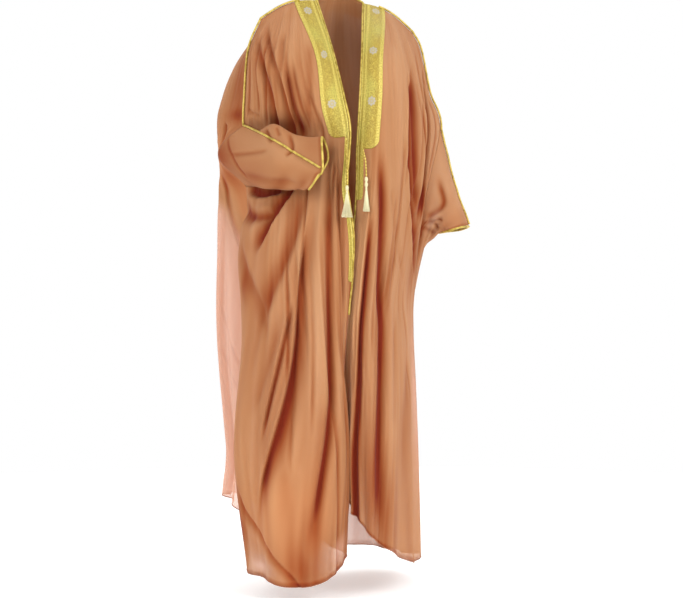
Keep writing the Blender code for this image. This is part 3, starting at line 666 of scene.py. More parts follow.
# ---- finishes ----------------------------------------------------------------------
class NodeBench:
    """A material's node tree, built one node at a time round its own shader."""

    def __init__(self, name: str) -> None:
        """Start a material with one shader.

        Args:
            name: the material's name.
        """
        self.material = bpy.data.materials.new(name)
        self.material.use_nodes = True
        self.tree = self.material.node_tree
        self.shader = self.tree.nodes["Principled BSDF"]

    def add(self, kind: str, **inputs: object) -> bpy.types.Node:
        """Add a node.

        Args:
            kind: the node's type, without its ShaderNode in front.
            inputs: values or sockets for its inputs, by name or as in0, in1 for their order;
                a name that isn't an input is a setting of the node.

        Returns:
            The node.
        """
        node = self.tree.nodes.new("ShaderNode" + kind)
        sockets = {}
        for name, value in inputs.items():
            number = name[2:] if name.startswith("in") and name[2:].isdigit() else None
            if number is None and name.replace("_", " ") not in node.inputs:
                setattr(node, name, value)
            else:
                sockets[int(number) if number is not None else name.replace("_", " ")] = value
        for place, value in sockets.items():
            self.feed(node.inputs[place], value)
        return node

    def feed(self, socket: Socket, value: object) -> None:
        """Give a socket a value, or link another socket to it.

        Args:
            socket: the socket to feed.
            value: a value, or a socket to link.
        """
        if isinstance(value, Socket):
            self.tree.links.new(value, socket)
        else:
            socket.default_value = value

    def measure(self, name: str) -> Socket:
        """A number that the mesh carries at each point."""
        return self.add("Attribute", attribute_name=name).outputs["Fac"]

    def coordinates(self, kind: str = "Object") -> Socket:
        """The piece's own coordinates."""
        return self.add("TexCoord").outputs[kind]

    def noise(self, vector: Socket, scale: float, detail: float = 2.0) -> Socket:
        """Noise from 0 to 1."""
        return self.add("TexNoise", Vector=vector, Scale=scale, Detail=detail).outputs[0]

    def stretch(self, vector: Socket, scale: Triple) -> Socket:
        """The coordinates scaled along each axis."""
        return self.add("Mapping", Vector=vector, Scale=scale).outputs[0]

    def sum(self, kind: str, a: object, b: object, clamp: bool = False) -> Socket:
        """A sum of two numbers, such as ADD or MULTIPLY."""
        return self.add("Math", operation=kind, use_clamp=clamp, in0=a, in1=b).outputs[0]

    def span(self, value: object, low: float = 0.0, high: float = 1.0, start: float = 0.0, end: float = 1.0,
             clamp: bool = True) -> Socket:
        """A number that runs from start to end as the value runs from low to high."""
        return self.add("MapRange", clamp=clamp, Value=value, From_Min=low, From_Max=high, To_Min=start,
                        To_Max=end).outputs[0]

    def tint(self, share: object, a: object, b: object, blend: str = "MIX") -> Socket:
        """A mix of two colours.

        Args:
            share: how much of the second there is, from 0 to 1.
            a: the first colour.
            b: the second colour.
            blend: how they mix.

        Returns:
            The mix.
        """
        node = self.add("Mix", data_type="RGBA", blend_type=blend)
        for socket, value in zip((node.inputs[0], node.inputs[6], node.inputs[7]), (share, a, b)):
            self.feed(socket, value if not isinstance(value, tuple) else (*value, 1.0))
        return node.outputs[2]

    def ramp(self, share: Socket, stops: Sequence[tuple[float, Colour]]) -> Socket:
        """A run of colours along a number.

        Args:
            share: the number.
            stops: the colours and where each sits.

        Returns:
            The colour.
        """
        node = self.add("ValToRGB", Fac=share)
        elements = node.color_ramp.elements
        while len(elements) < len(stops):
            elements.new(0.5)
        for element, (place, colour) in zip(elements, stops):
            element.position, element.color = place, (*colour, 1.0)
        return node.outputs[0]

    def bump(self, height: Socket, distance: float, strength: float = 1.0) -> None:
        """Raise the surface by a height from 0 to 1, times a distance."""
        node = self.add("Bump", Height=height, Distance=distance, Strength=strength)
        self.feed(self.shader.inputs["Normal"], node.outputs[0])

    def settle(self, **values: object) -> Material:
        """Set the shader's inputs, and hand over the material.

        Args:
            values: a value or a socket for each input, by name.

        Returns:
            The material.
        """
        for name, value in values.items():
            socket = self.shader.inputs[name.replace("_", " ")]
            self.feed(socket, (*value, 1.0) if isinstance(value, tuple) else value)
        return self.material


@dataclass(frozen=True)
class ChiffonFinish:
    """Sheer crepe chiffon, with painted shade in its folds, partly the deeper colour of gathered cloth, painted
    light where it is sheer, and closer where it gathers.
    """

    name: str = "chiffon"
    # the colours along the shade: a painted highlight at 0, the plain cloth near 0.3, painted shade in the deepest
    # folds, partly the deeper colour of doubled cloth
    stops: tuple[tuple[float, Colour], ...] = (
        (0.0, (0.650, 0.350, 0.176)), (0.3, (0.500, 0.232, 0.103)), (0.55, (0.365, 0.134, 0.050)),
        (0.78, (0.270, 0.062, 0.015)), (1.0, (0.170, 0.016, 0.003)),
    )
    # painted light that shines through the cloth where it is sheer
    painted_backlight: Colour = (0.880, 0.500, 0.370)
    body_cover: float = 0.62
    wing_cover: float = 0.42
    close_cover: float = 0.98
    fold_cover: float = 0.45
    fleck: Colour = (0.800, 0.500, 0.300)
    thread: float = 1500.0

    def build(self) -> Material:
        """Make the material.

        Returns:
            It reads "shade" and "sheer", which the cloth carries at each point: "shade" gives its painted shade
            and painted highlight, "sheer" its see-through and painted light.
        """
        bench = NodeBench(self.name)
        shade, sheer = bench.measure("shade"), bench.measure("sheer")
        place = bench.coordinates()
        # the colour runs from painted highlight to painted shade, tinted with painted light where the cloth is
        # sheer
        colour = bench.tint(bench.sum("MULTIPLY", sheer, 0.75), bench.ramp(shade, self.stops), self.painted_backlight)
        grain = bench.noise(bench.stretch(place, (1.0, 1.0, 0.55)), self.thread, 1.0)
        colour = bench.tint(bench.sum("MULTIPLY", grain, 0.22), colour, self.fleck, "SOFT_LIGHT")
        loose, close = (bench.span(sheer, start=self.body_cover, end=far, clamp=False)
                        for far in (self.wing_cover, 2 * self.body_cover - self.close_cover))
        cover = bench.sum("MAXIMUM", loose, close)
        cover = bench.sum("ADD", cover, bench.sum("MULTIPLY", bench.sum("SUBTRACT", shade, 0.25), self.fold_cover))
        cover = bench.sum("ADD", cover, bench.sum("MULTIPLY", bench.sum("SUBTRACT", grain, 0.5), 0.06), True)
        cover = bench.sum("MAXIMUM", cover, self.wing_cover)
        bench.bump(grain, 0.0002, 0.5)
        return bench.settle(Base_Color=colour, Alpha=cover, Roughness=0.82, Sheen_Weight=0.06,
                            Sheen_Roughness=0.5, Specular_IOR_Level=0.15)


@dataclass(frozen=True)
class HemFinish:
    """The cloth rolled over on itself and stitched, nearly opaque."""

    name: str = "rolled_hem"
    deep: Colour = (0.260, 0.080, 0.028)
    light: Colour = (0.380, 0.135, 0.055)

    def build(self) -> Material:
        """Make the material.

        Returns:
            The material.
        """
        bench = NodeBench(self.name)
        place = bench.coordinates()
        colour = bench.tint(bench.noise(place, 60.0), self.deep, self.light)
        bench.bump(bench.noise(place, 800.0), 0.0002)
        return bench.settle(Base_Color=colour, Roughness=0.8, Sheen_Weight=0.2)


@dataclass(frozen=True)
class ZariFinish:
    """Gold metal thread laid side by side, couched in ornament, with silver in the rosettes."""

    name: str = "zari"
    ground: Colour = (0.220, 0.140, 0.008)
    middle: Colour = (0.460, 0.330, 0.026)
    thread: Colour = (0.780, 0.650, 0.165)
    silver: Colour = (0.440, 0.400, 0.320)
    warm: Colour = (0.420, 0.270, 0.012)
    fresh: Colour = (0.500, 0.490, 0.090)
    # the colour of painted glints along the metal threads
    painted_gleam: Colour = (0.900, 0.840, 0.500)
    shine: float = 0.2

    def build(self) -> Material:
        """Make the material.

        Returns:
            It reads "relief" and "silver", and a UV map in metres.
        """
        bench = NodeBench(self.name)
        relief, silver = bench.measure("relief"), bench.measure("silver")
        place = bench.coordinates("UV")
        strands = bench.noise(bench.stretch(place, (900.0, 3600.0, 1.0)), 1.0, 2.0)
        colour = bench.ramp(relief, ((0.0, self.ground), (0.5, self.middle), (1.0, self.thread)))
        warm = bench.span(bench.noise(bench.stretch(place, (70.0, 26.0, 1.0)), 1.0, 3.0), 0.42, 0.66, end=0.55)
        plain = bench.span(relief, 0.45, 0.80, 1.0, 0.25)
        colour = bench.tint(bench.sum("MULTIPLY", warm, plain), colour, self.warm)
        fresh = bench.span(bench.noise(bench.stretch(place, (14.0, 9.0, 1.0)), 1.0, 1.0), 0.44, 0.60, end=0.55)
        colour = bench.tint(bench.sum("MULTIPLY", fresh, plain), colour, self.fresh)
        # painted glints streak along the threads
        colour = bench.tint(bench.sum("MULTIPLY", strands, 0.5), colour, self.painted_gleam, "SOFT_LIGHT")
        speckle = bench.span(bench.noise(bench.stretch(place, (330.0, 330.0, 1.0)), 1.0, 2.0), 0.38, 0.62)
        colour = bench.tint(speckle, bench.tint(0.55, colour, self.ground), bench.tint(0.25, colour, self.thread))
        colour = bench.tint(silver, colour, bench.ramp(relief, ((0.0, self.middle), (0.5, self.silver))))
        glint = bench.span(strands, start=0.62, end=0.40)
        bench.bump(strands, 0.0003)
        return bench.settle(Base_Color=colour, Roughness=glint, Metallic=self.shine, Specular_IOR_Level=0.6)


@dataclass(frozen=True)
class CordFinish:
    """Gold cord twisted from thread."""

    name: str = "gold_cord"
    light: Colour = (0.740, 0.560, 0.130)
    deep: Colour = (0.270, 0.175, 0.010)
    # the colour of painted glints on the fibres
    painted_gleam: Colour = (0.980, 0.920, 0.550)
    shine: float = 0.35

    def build(self) -> Material:
        """Make the material, which reads "groove", the depth between two plies, and paints shade there.

        Returns:
            The material.
        """
        bench = NodeBench(self.name)
        worn = bench.span(bench.noise(bench.coordinates(), 75.0), 0.40, 0.60, end=0.85)
        # painted shade in the grooves between the plies, with the worn patches
        colour = bench.tint(bench.sum("MAXIMUM", bench.measure("groove"), worn), self.light, self.deep)
        fibres = bench.noise(bench.coordinates(), 2200.0, 1.0)
        colour = bench.tint(bench.sum("MULTIPLY", fibres, 0.4), colour, self.painted_gleam, "SOFT_LIGHT")
        bench.bump(fibres, 0.0002)
        return bench.settle(Base_Color=colour, Roughness=0.38, Metallic=self.shine, Specular_IOR_Level=0.6)


@dataclass(frozen=True)
class SilkFinish:
    """Pale gold silk thread, for tassels."""

    name: str = "silk_thread"
    light: Colour = (0.900, 0.850, 0.560)
    deep: Colour = (0.600, 0.520, 0.240)

    def build(self) -> Material:
        """Make the material, which reads "groove": painted shade between the wound threads of a tassel head, and
        each free thread's own tone.

        Returns:
            The material.
        """
        bench = NodeBench(self.name)
        place = bench.stretch(bench.coordinates(), (1.0, 1.0, 0.08))
        streak = bench.noise(place, 1600.0, 1.0)
        # painted shade in the grooves, with random streaks
        share = bench.sum("ADD", bench.measure("groove"), bench.sum("MULTIPLY", streak, 0.35), True)
        colour = bench.tint(share, self.light, self.deep)
        bench.bump(streak, 0.0002)
        return bench.settle(Base_Color=colour, Roughness=0.42, Sheen_Weight=0.4, Specular_IOR_Level=0.6,
                            Metallic=0.1)


@dataclass(frozen=True)
class PaperFinish:
    """The plain pale floor."""

    name: str = "studio_paper"
    colour: Colour = (0.93, 0.93, 0.925)
    mottle: Colour = (0.7, 0.7, 0.7)

    def build(self) -> Material:
        """Make the material.

        Returns:
            The material.
        """
        bench = NodeBench(self.name)
        mottle = bench.noise(bench.coordinates(), 40.0)
        colour = bench.tint(bench.sum("MULTIPLY", mottle, 0.03), self.colour, self.mottle)
        return bench.settle(Base_Color=colour, Roughness=0.9, Emission_Color=self.colour, Emission_Strength=0.3)


# ---- making pieces -----------------------------------------------------------------
def points_of(mesh: Mesh) -> Array:
    """The points of a mesh, a row for each.

    Args:
        mesh: the mesh.

    Returns:
        The points.
    """
    flat = np.empty(len(mesh.vertices) * 3)
    mesh.vertices.foreach_get("co", flat)
    return flat.reshape(-1, 3)


def settled(body: bmesh.types.BMesh, mesh: Mesh | str) -> Mesh:
    """Write shaped geometry into a mesh, or into a new one of that name, and free it.

    Args:
        body: the geometry.
        mesh: the mesh, or a new mesh's name.

    Returns:
        The mesh.
    """
    mesh = bpy.data.meshes.new(mesh) if isinstance(mesh, str) else mesh
    body.to_mesh(mesh)
    body.free()
    return mesh


def plain_grid(name: str, columns: int, rows: int) -> tuple[Mesh, Array, Array]:
    """A flat grid to drape.

    Args:
        name: the mesh's name.
        columns: cells across.
        rows: cells down.

    Returns:
        The mesh, and each point's place across and down it, from 0 to 1.
    """
    sheet = bmesh.new()
    bmesh.ops.create_grid(sheet, x_segments=columns, y_segments=rows, size=0.5)
    mesh = settled(sheet, name)
    points = points_of(mesh)
    return mesh, np.clip(points[:, 0] + 0.5, 0, 1), np.clip(0.5 - points[:, 1], 0, 1)


def place(mesh: Mesh, points: Array) -> None:
    """Move a mesh's points."""
    mesh.vertices.foreach_set("co", points.astype(np.float32).ravel())
    mesh.update()


def measure(mesh: Mesh, name: str, values: Array) -> None:
    """Write a number at each point of a mesh."""
    layer = mesh.attributes.new(name, "FLOAT", "POINT")
    layer.data.foreach_set("value", values.astype(np.float32))


def lay_out(mesh: Mesh, u: Array, v: Array) -> None:
    """Give a mesh a UV map from a pair of numbers at each point.

    Args:
        mesh: the mesh.
        u: the first number at each point.
        v: the second.
    """
    corners = np.empty(len(mesh.loops), dtype=np.int32)
    mesh.loops.foreach_get("vertex_index", corners)
    layer = mesh.uv_layers.new(name="laid_flat")
    layer.data.foreach_set("uv", np.stack([u[corners], v[corners]], axis=1).astype(np.float32).ravel())


def sheet_area(mesh: Mesh) -> float:
    """The area of a mesh's faces.

    Args:
        mesh: the mesh.

    Returns:
        The area in square metres.
    """
    areas = np.empty(len(mesh.polygons))
    mesh.polygons.foreach_get("area", areas)
    return float(areas.sum())


def evenly(points: Array, gap: float) -> Array:
    """The points along a line, placed again a gap apart.

    Args:
        points: the line.
        gap: the gap in metres.

    Returns:
        The new points.
    """
    gone = paces(points)
    stops = np.linspace(0.0, gone[-1], max(2, round(gone[-1] / gap)) + 1)
    return np.stack([np.interp(stops, gone, points[:, axis]) for axis in range(3)], axis=1)


def frames(line: Array) -> tuple[Array, Array]:
    """Two directions across a line at each of its points, that turn as little as they can.

    Args:
        line: the points.

    Returns:
        The two directions at each point.
    """
    along = unit(np.gradient(line, axis=0))
    side = np.cross(along[0], (0.0, 0.0, 1.0))
    if np.linalg.norm(side) < 0.1:
        side = np.cross(along[0], (0.0, 1.0, 0.0))
    sides = []
    for way in along:
        side = unit(side - way * np.dot(side, way))
        sides.append(side)
    first = np.array(sides)
    return first, np.cross(along, first)


def tube_mesh(name: str, line: Array, radius: Callable[[Array, Array], Array], around: int,
              closed: bool = False) -> tuple[Mesh, Array, Array]:
    """A cord through a run of points, made from a grid rolled up round it.

    Args:
        name: the mesh's name.
        line: the points of its middle line.
        radius: its radius at each place along, in metres, and round, from 0 to 1.
        around: the number of its sides.
        closed: whether the line's ends are joined.

    Returns:
        The mesh, and each point's place along it in metres and round it.
    """
    if closed:
        line = np.concatenate([line, line[:1]])
    gone = paces(line)
    first, second = frames(line)
    if closed:
        first[-1], second[-1] = first[0], second[0]
    mesh, u, v = plain_grid(name, around, len(line) - 1)
    at = np.rint(v * (len(line) - 1)).astype(int)
    angle = 2 * math.pi * u
    out = first[at] * np.cos(angle)[:, None] + second[at] * np.sin(angle)[:, None]
    reach = radius(gone[at], u)
    place(mesh, line[at] + out * reach[:, None])
    measure(mesh, "along", gone[at])
    measure(mesh, "round", u)
    body = bmesh.new()
    body.from_mesh(mesh)
    bmesh.ops.remove_doubles(body, verts=body.verts, dist=SAME_POINT)
    if not closed:
        bmesh.ops.holes_fill(body, edges=[edge for edge in body.edges if edge.is_boundary], sides=around)
    bmesh.ops.recalc_face_normals(body, faces=body.faces)
    settled(body, mesh)
    along, round_ = np.empty(len(mesh.vertices)), np.empty(len(mesh.vertices))
    mesh.attributes["along"].data.foreach_get("value", along)
    mesh.attributes["round"].data.foreach_get("value", round_)
    return mesh, along, round_


def rod_mesh(name: str, line: Array, radius: float, around: int) -> Mesh:
    """A plain round rod through a run of points."""
    return tube_mesh(name, line, lambda along, round_: np.full_like(along, radius), around)[0]


@dataclass
class Piece:
    """A piece of the cloak, and the CAD node that it stands for, where it has one."""

    name: str
    node: str | None
    slot: ClassVar[str] = "cloth"
    wall: ClassVar[float] = 0.0

    def shape(self) -> Mesh:
        """Make the piece's outer face."""
        raise NotImplementedError

    def build(self, finish: Material) -> Object:
        """Make the piece and put it in the scene, on the cloak's one body.

        Args:
            finish: its material.

        Returns:
            The piece's object.
        """
        mesh = self.shape()
        mesh.materials.append(finish)
        mesh.shade_smooth()
        piece = bpy.data.objects.new(self.name, mesh)
        bpy.context.scene.collection.objects.link(piece)
        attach(piece, "root")
        if self.node:
            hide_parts(self.node)
        if self.wall:
            modifier = piece.modifiers.new("thickness", "SOLIDIFY")
            modifier.thickness, modifier.offset = self.wall, -1.0
        LOG.info("%s: %d faces", self.name, len(mesh.polygons))
        return piece
# ---- the folds of each sheet ---------------------------------------------------------
FRONT_FOLDS: dict[Side, tuple[Fold, ...]] = {
    Side.RIGHT: (
        Fold(((0.45, 0.92), (1.12, 0.66), (1.98, 0.61), (2.95, 0.61), (3.6, 0.61)), 11, (13, 8)),
        Fold(((0.2, 0.82), (0.85, 0.60), (1.33, 0.51), (2.62, 0.49), (3.6, 0.485)), 8, (13, 5), 0.2),
        Fold(((0.5, 0.50), (1.0, 0.49), (1.4, 0.51)), 5, (8, 6)),
        Fold(((0.95, 0.45), (1.83, 0.462), (2.43, 0.455), (3.6, 0.43)), 12, (6, 18), -0.2),
        Fold(((0.7, 0.24), (1.12, 0.26), (1.95, 0.34), (3.3, 0.415)), 5, (14, 9), 0.0, 1.2),
        Fold(((1.4, 0.33), (2.12, 0.31), (3.05, 0.305), (3.7, 0.30)), 6, (6, 6), 0.0, 1.3),
        Fold(((2.36, 0.97), (2.46, 0.86), (2.60, 0.74)), 4, (5, 6), 0.0, 1.4),
        Fold(((5.0, 0.97), (5.08, 0.84), (5.13, 0.72), (5.07, 0.61), (4.88, 0.50)), 12, (9, 30), 0.0, 1.25),
        Fold(((5.22, 1.0), (5.43, 0.84), (5.53, 0.70), (5.50, 0.62), (5.36, 0.56)), 9, (20, 13), 0.0, 1.3),
        Fold(((4.7, 0.48), (5.18, 0.52), (5.62, 0.595), (6.1, 0.66)), 12, (22, 9), 0.2, 1.35),
        Fold(((4.7, 0.41), (5.40, 0.42), (5.90, 0.455), (6.27, 0.515), (6.57, 0.575),
              (6.9, 0.63)), 9, (26, 13), 0.0, 1.1),
        Fold(((5.8, 0.80), (6.33, 0.695), (6.6, 0.63), (7.0, 0.59)), 6, (20, 12), 0.0, 0.8),
        Fold(((5.2, 0.35), (5.93, 0.375), (6.55, 0.425), (7.05, 0.445), (7.48, 0.47), (7.95, 0.52),
              (8.25, 0.575), (8.6, 0.62)), 14, (6, 24), -0.5),
        Fold(((6.5, 0.45), (7.05, 0.51), (7.48, 0.54), (7.95, 0.585)), 9, (5, 6), -0.3, 1.1),
        Fold(((6.7, 0.51), (7.15, 0.565), (7.38, 0.605), (7.7, 0.65)), 4, (18, 12), 0.0, 0.9),
        Fold(((4.0, 0.28), (5.43, 0.235), (6.58, 0.235), (7.5, 0.27), (7.95, 0.31), (8.37, 0.345),
              (8.8, 0.375)), 12, (8, 12), 0.2, 1.25),
        Fold(((7.4, 0.275), (7.95, 0.315), (8.37, 0.347), (8.85, 0.38)), 7, (24, 20), 0.0, 0.9),
        Fold(((8.2, 0.745), (8.40, 0.715), (8.59, 0.655), (8.74, 0.555), (8.90, 0.47),
              (9.02, 0.42)), 4, (11, 4), 0.0, 1.5),
        Fold(((4.1, 0.17), (5.6, 0.12), (6.15, 0.11), (6.9, 0.07)), 9, (4, 7), -0.3),
        Fold(((8.0, 0.50), (8.3, 0.46), (8.6, 0.44), (9.3, 0.42)), 5, (24, 24), 0.0, 0.5),
        Fold(((7.3, 0.175), (8.0, 0.165), (8.45, 0.175), (9.3, 0.18)), 5, (9, 14), 0.0, 0.7),
    ),
    Side.LEFT: (
        Fold(((2.9, 0.25), (3.65, 0.265), (4.2, 0.315), (5.43, 0.43), (6.1, 0.43), (7.12, 0.40),
              (8.35, 0.38), (8.9, 0.42)), 11, (12, 15), 0.2, 1.5),
        Fold(((3.9, 0.17), (4.78, 0.185), (5.48, 0.19), (6.53, 0.17), (8.0, 0.14),
              (9.3, 0.13)), 13, (5, 10), -0.3, 2.2),
        Fold(((3.7, 0.38), (3.93, 0.405), (4.4, 0.53), (5.0, 0.80)), 3, (10, 10), 0.0, 0.9),
        Fold(((1.1, 0.74), (1.7, 0.62), (2.25, 0.57), (3.18, 0.57), (3.62, 0.635), (4.03, 0.70),
              (4.38, 0.79), (4.67, 0.915), (4.9, 1.0)), 14, (6, 24), -0.3, 1.5),
        Fold(((1.3, 0.98), (1.75, 0.93), (2.7, 0.83), (3.5, 0.825), (3.83, 0.865),
              (4.3, 0.83)), 11, (12, 5), 0.2, 1.5),
        Fold(((5.0, 0.50), (6.33, 0.47), (7.4, 0.44)), 3, (9, 9), 0.0, 0.9),
        Fold(((5.5, 0.60), (6.83, 0.555), (7.6, 0.535)), 3, (12, 12), 0.0, 1.0),
        Fold(((6.1, 0.82), (6.98, 0.71), (7.53, 0.68), (9.3, 0.72)), 5, (20, 18), 0.0, 0.7),
        Fold(((0.05, 0.48), (0.45, 0.47), (1.0, 0.45)), 3, (10, 10)),
        Fold(((1.2, 0.71), (1.89, 0.66), (2.67, 0.625), (3.29, 0.65), (3.84, 0.73),
              (4.3, 0.84)), 3, (4, 14), 0.0, 5.0),
        Fold(((1.8, 0.81), (2.6, 0.735), (3.32, 0.78), (3.69, 0.86), (3.94, 0.885),
              (4.3, 0.89)), 3, (4, 4), 0.0, 4.5),
    ),
}
BACK_FOLDS: tuple[Fold, ...] = (
    Fold(((0.6, 0.24), (2.5, 0.22), (6.0, 0.20), (9.3, 0.21)), 13, (14, 12), 0.3),
    Fold(((1.3, 0.33), (3.0, 0.31), (7.2, 0.29)), 10, (11, 11)),
    Fold(((2.2, 0.41), (5.0, 0.385), (9.3, 0.36)), 15, (12, 14), 0.4),
    Fold(((4.0, 0.47), (6.0, 0.455), (8.4, 0.44)), 9, (11, 10)),
    Fold(((1.6, 0.555), (4.0, 0.55), (9.3, 0.53)), 16, (14, 12), -0.4),
    Fold(((3.4, 0.62), (5.2, 0.615), (7.6, 0.60)), 9, (10, 11)),
    Fold(((1.0, 0.70), (4.0, 0.69), (9.3, 0.68)), 14, (13, 13), -0.3),
    Fold(((2.6, 0.79), (5.0, 0.775), (7.9, 0.76)), 10, (11, 11)),
    Fold(((5.6, 0.12), (7.5, 0.115), (9.3, 0.12)), 9, (15, 13), 0.0, 0.5),
    Fold(((6.6, 0.14), (6.83, 0.11), (7.18, 0.065), (7.3, 0.04)), 3, (4, 4), 0.0, 1.6),
    Fold(((7.0, 0.15), (7.2, 0.12), (7.38, 0.07), (7.5, 0.04)), 3, (4, 4), 0.0, 1.4),
    Fold(((2.9, 0.10), (3.05, 0.085), (3.7, 0.03), (4.4, 0.01)), 6, (6, 5), 0.0, 1.3),
    Fold(((4.5, 0.11), (5.24, 0.10), (5.64, 0.07), (6.2, 0.02)), 4, (3, 11), 0.0, 1.8),
)
SLEEVE_FOLDS: dict[Side, tuple[Fold, ...]] = {
    Side.RIGHT: (
        Fold(((0.05, 0.76), (0.22, 0.84), (0.34, 0.90)), 3, (6, 5), 0.0, 1.6),
        Fold(((0.26, 1.09), (0.30, 1.04), (0.33, 1.00), (0.37, 0.97)), 4, (7, 4), 0.0, 2.2),
        Fold(((0.55, 1.14), (0.60, 1.07), (0.625, 1.02), (0.57, 0.95), (0.51, 0.89)), 4, (8, 4), 0.0, 2.2),
        Fold(((0.40, 1.12), (0.42, 1.08), (0.45, 1.05)), 3, (5, 5), 0.0, 2.0),
        Fold(((0.10, 0.62), (0.40, 0.66), (0.80, 0.64)), 3, (14, 10), 0.0, 1.0),
        Fold(((-0.02, 0.93), (0.04, 0.86), (0.11, 0.76), (0.14, 0.66), (0.16, 0.57)), 3, (5, 5), 0.0, 2.4),
    ),
    Side.LEFT: (
        Fold(((0.10, 0.12), (0.31, 0.179), (0.47, 0.225), (0.44, 0.271), (0.25, 0.29),
              (0.06, 0.28)), 3, (9, 7), 0.0, 4.2),
        Fold(((-0.05, 0.29), (0.13, 0.30), (0.342, 0.321), (0.575, 0.312),
              (0.72, 0.32)), 4, (4, 4), 0.0, 2.6),
        Fold(((0.075, 0.279), (0.342, 0.321), (0.60, 0.36), (0.78, 0.375)), 4, (4, 4), 0.0, 2.4),
        Fold(((-0.05, 0.31), (0.083, 0.308), (0.30, 0.35), (0.54, 0.383),
              (0.70, 0.41)), 3, (5, 6), 0.0, 2.8),
    ),
}

# ---- painted shade on each sheet, partly the deeper colour of doubled cloth; below 0 painted light ---
SLEEVE_SHADES: dict[Side, tuple[Patch, ...]] = {
    Side.RIGHT: (
        Patch(0.4, 0.60, 0.6, 0.22, 0.20), Patch(0.5, 0.92, 0.4, 0.10, -0.12),
        Patch(0.0, 0.74, 0.10, 0.15, 0.5),
    ),
    Side.LEFT: (
        Patch(0.5, 0.10, 0.4, 0.12, -0.15), Patch(0.02, 0.34, 0.15, 0.10, 0.35),
        Patch(0.35, 0.31, 0.18, 0.05, -0.25),
    ),
}
FRONT_SHADES: dict[Side, tuple[Patch, ...]] = {
    Side.RIGHT: (
        Patch(6.8, 0.33, 1.3, 0.05, -0.22), Patch(6.8, 0.64, 1.0, 0.13, 0.12),
        Patch(5.2, 0.62, 0.2, 0.12, 0.15), Patch(8.6, 0.76, 0.35, 0.09, 0.28),
        Patch(8.9, 0.42, 0.16, 0.09, 0.18), Patch(1.0, 0.30, 0.9, 0.15, -0.12),
        Patch(3.0, 0.54, 0.45, 0.08, 0.35), Patch(4.8, 0.25, 0.7, 0.05, -0.15),
        Patch(8.7, 0.5, 0.4, 0.4, 0.10), Patch(8.82, 0.45, 0.2, 0.13, 0.10),
        Patch(6.45, 0.725, 0.20, 0.035, 0.35), Patch(8.62, 0.73, 0.16, 0.04, 0.25),
        Patch(7.9, 0.40, 0.9, 0.25, 0.06),
    ),
    Side.LEFT: (
        Patch(1.0, 0.45, 1.0, 0.2, -0.15), Patch(2.5, 0.40, 1.2, 0.12, -0.12),
        Patch(6.0, 0.30, 1.8, 0.12, 0.20), Patch(8.3, 0.30, 1.0, 0.24, 0.36),
        Patch(8.6, 0.48, 0.7, 0.14, 0.22), Patch(2.3, 0.98, 1.0, 0.10, -0.20),
        Patch(6.8, 0.03, 2.6, 0.07, 0.08), Patch(5.1, 0.07, 1.0, 0.08, -0.22),
        Patch(4.6, 0.88, 0.5, 0.08, 0.35), Patch(3.85, 0.865, 0.22, 0.05, 0.40),
        Patch(2.9, 0.69, 0.9, 0.06, 0.20), Patch(4.9, 0.50, 0.5, 0.035, 0.35),
    ),
}
BACK_SHADES: tuple[Patch, ...] = (
    Patch(1.6, 0.035, 1.0, 0.045, 0.48), Patch(2.6, 0.03, 0.3, 0.05, 0.35),
    Patch(3.8, 0.03, 0.7, 0.04, 0.12), Patch(4.75, 0.05, 0.40, 0.07, 0.40),
    Patch(5.4, 0.01, 0.4, 0.05, 0.22), Patch(7.2, 0.10, 1.9, 0.20, -0.20),
)
# ---- where each sheet is more sheer and tinted with painted light shining through, below 0 closer ---
FRONT_SHEERS: dict[Side, tuple[Patch, ...]] = {
    Side.RIGHT: (
        Patch(8.82, 0.25, 0.16, 0.09, 0.75), Patch(8.91, 0.62, 0.07, 0.08, 0.8),
        Patch(8.5, 0.47, 0.6, 0.26, -0.8),
    ),
    Side.LEFT: (
        Patch(7.0, 0.92, 1.3, 0.08, 0.7), Patch(6.8, 0.03, 2.6, 0.09, -0.5),
        Patch(5.2, 0.06, 1.1, 0.10, -0.6),
    ),
}
SLEEVE_SHEERS: dict[Side, tuple[Patch, ...]] = {
    Side.RIGHT: (),
    Side.LEFT: (Patch(0.35, 0.31, 0.20, 0.05, 0.4),),
}
BACK_SHEERS: tuple[Patch, ...] = (
    Patch(4.2, 0.08, 0.8, 0.14, -1.2), Patch(5.4, 0.0, 0.45, 0.06, -1.2), Patch(5.6, 0.14, 0.35, 0.05, 0.8),
    Patch(6.5, 0.10, 0.8, 0.15, 1.2), Patch(7.4, 0.10, 1.3, 0.22, 1.4), Patch(8.8, 0.10, 0.9, 0.20, 1.3),
    Patch(7.2, 0.94, 1.5, 0.10, 0.7), Patch(2.5, 0.5, 4.0, 0.22, -0.9), Patch(8.9, 0.5, 0.9, 0.2, 0.9),
)


def signed(value: Array) -> Array:
    """The value held between -1 and 1, eased on both sides of 0."""
    return np.sign(value) * ease(np.abs(value))


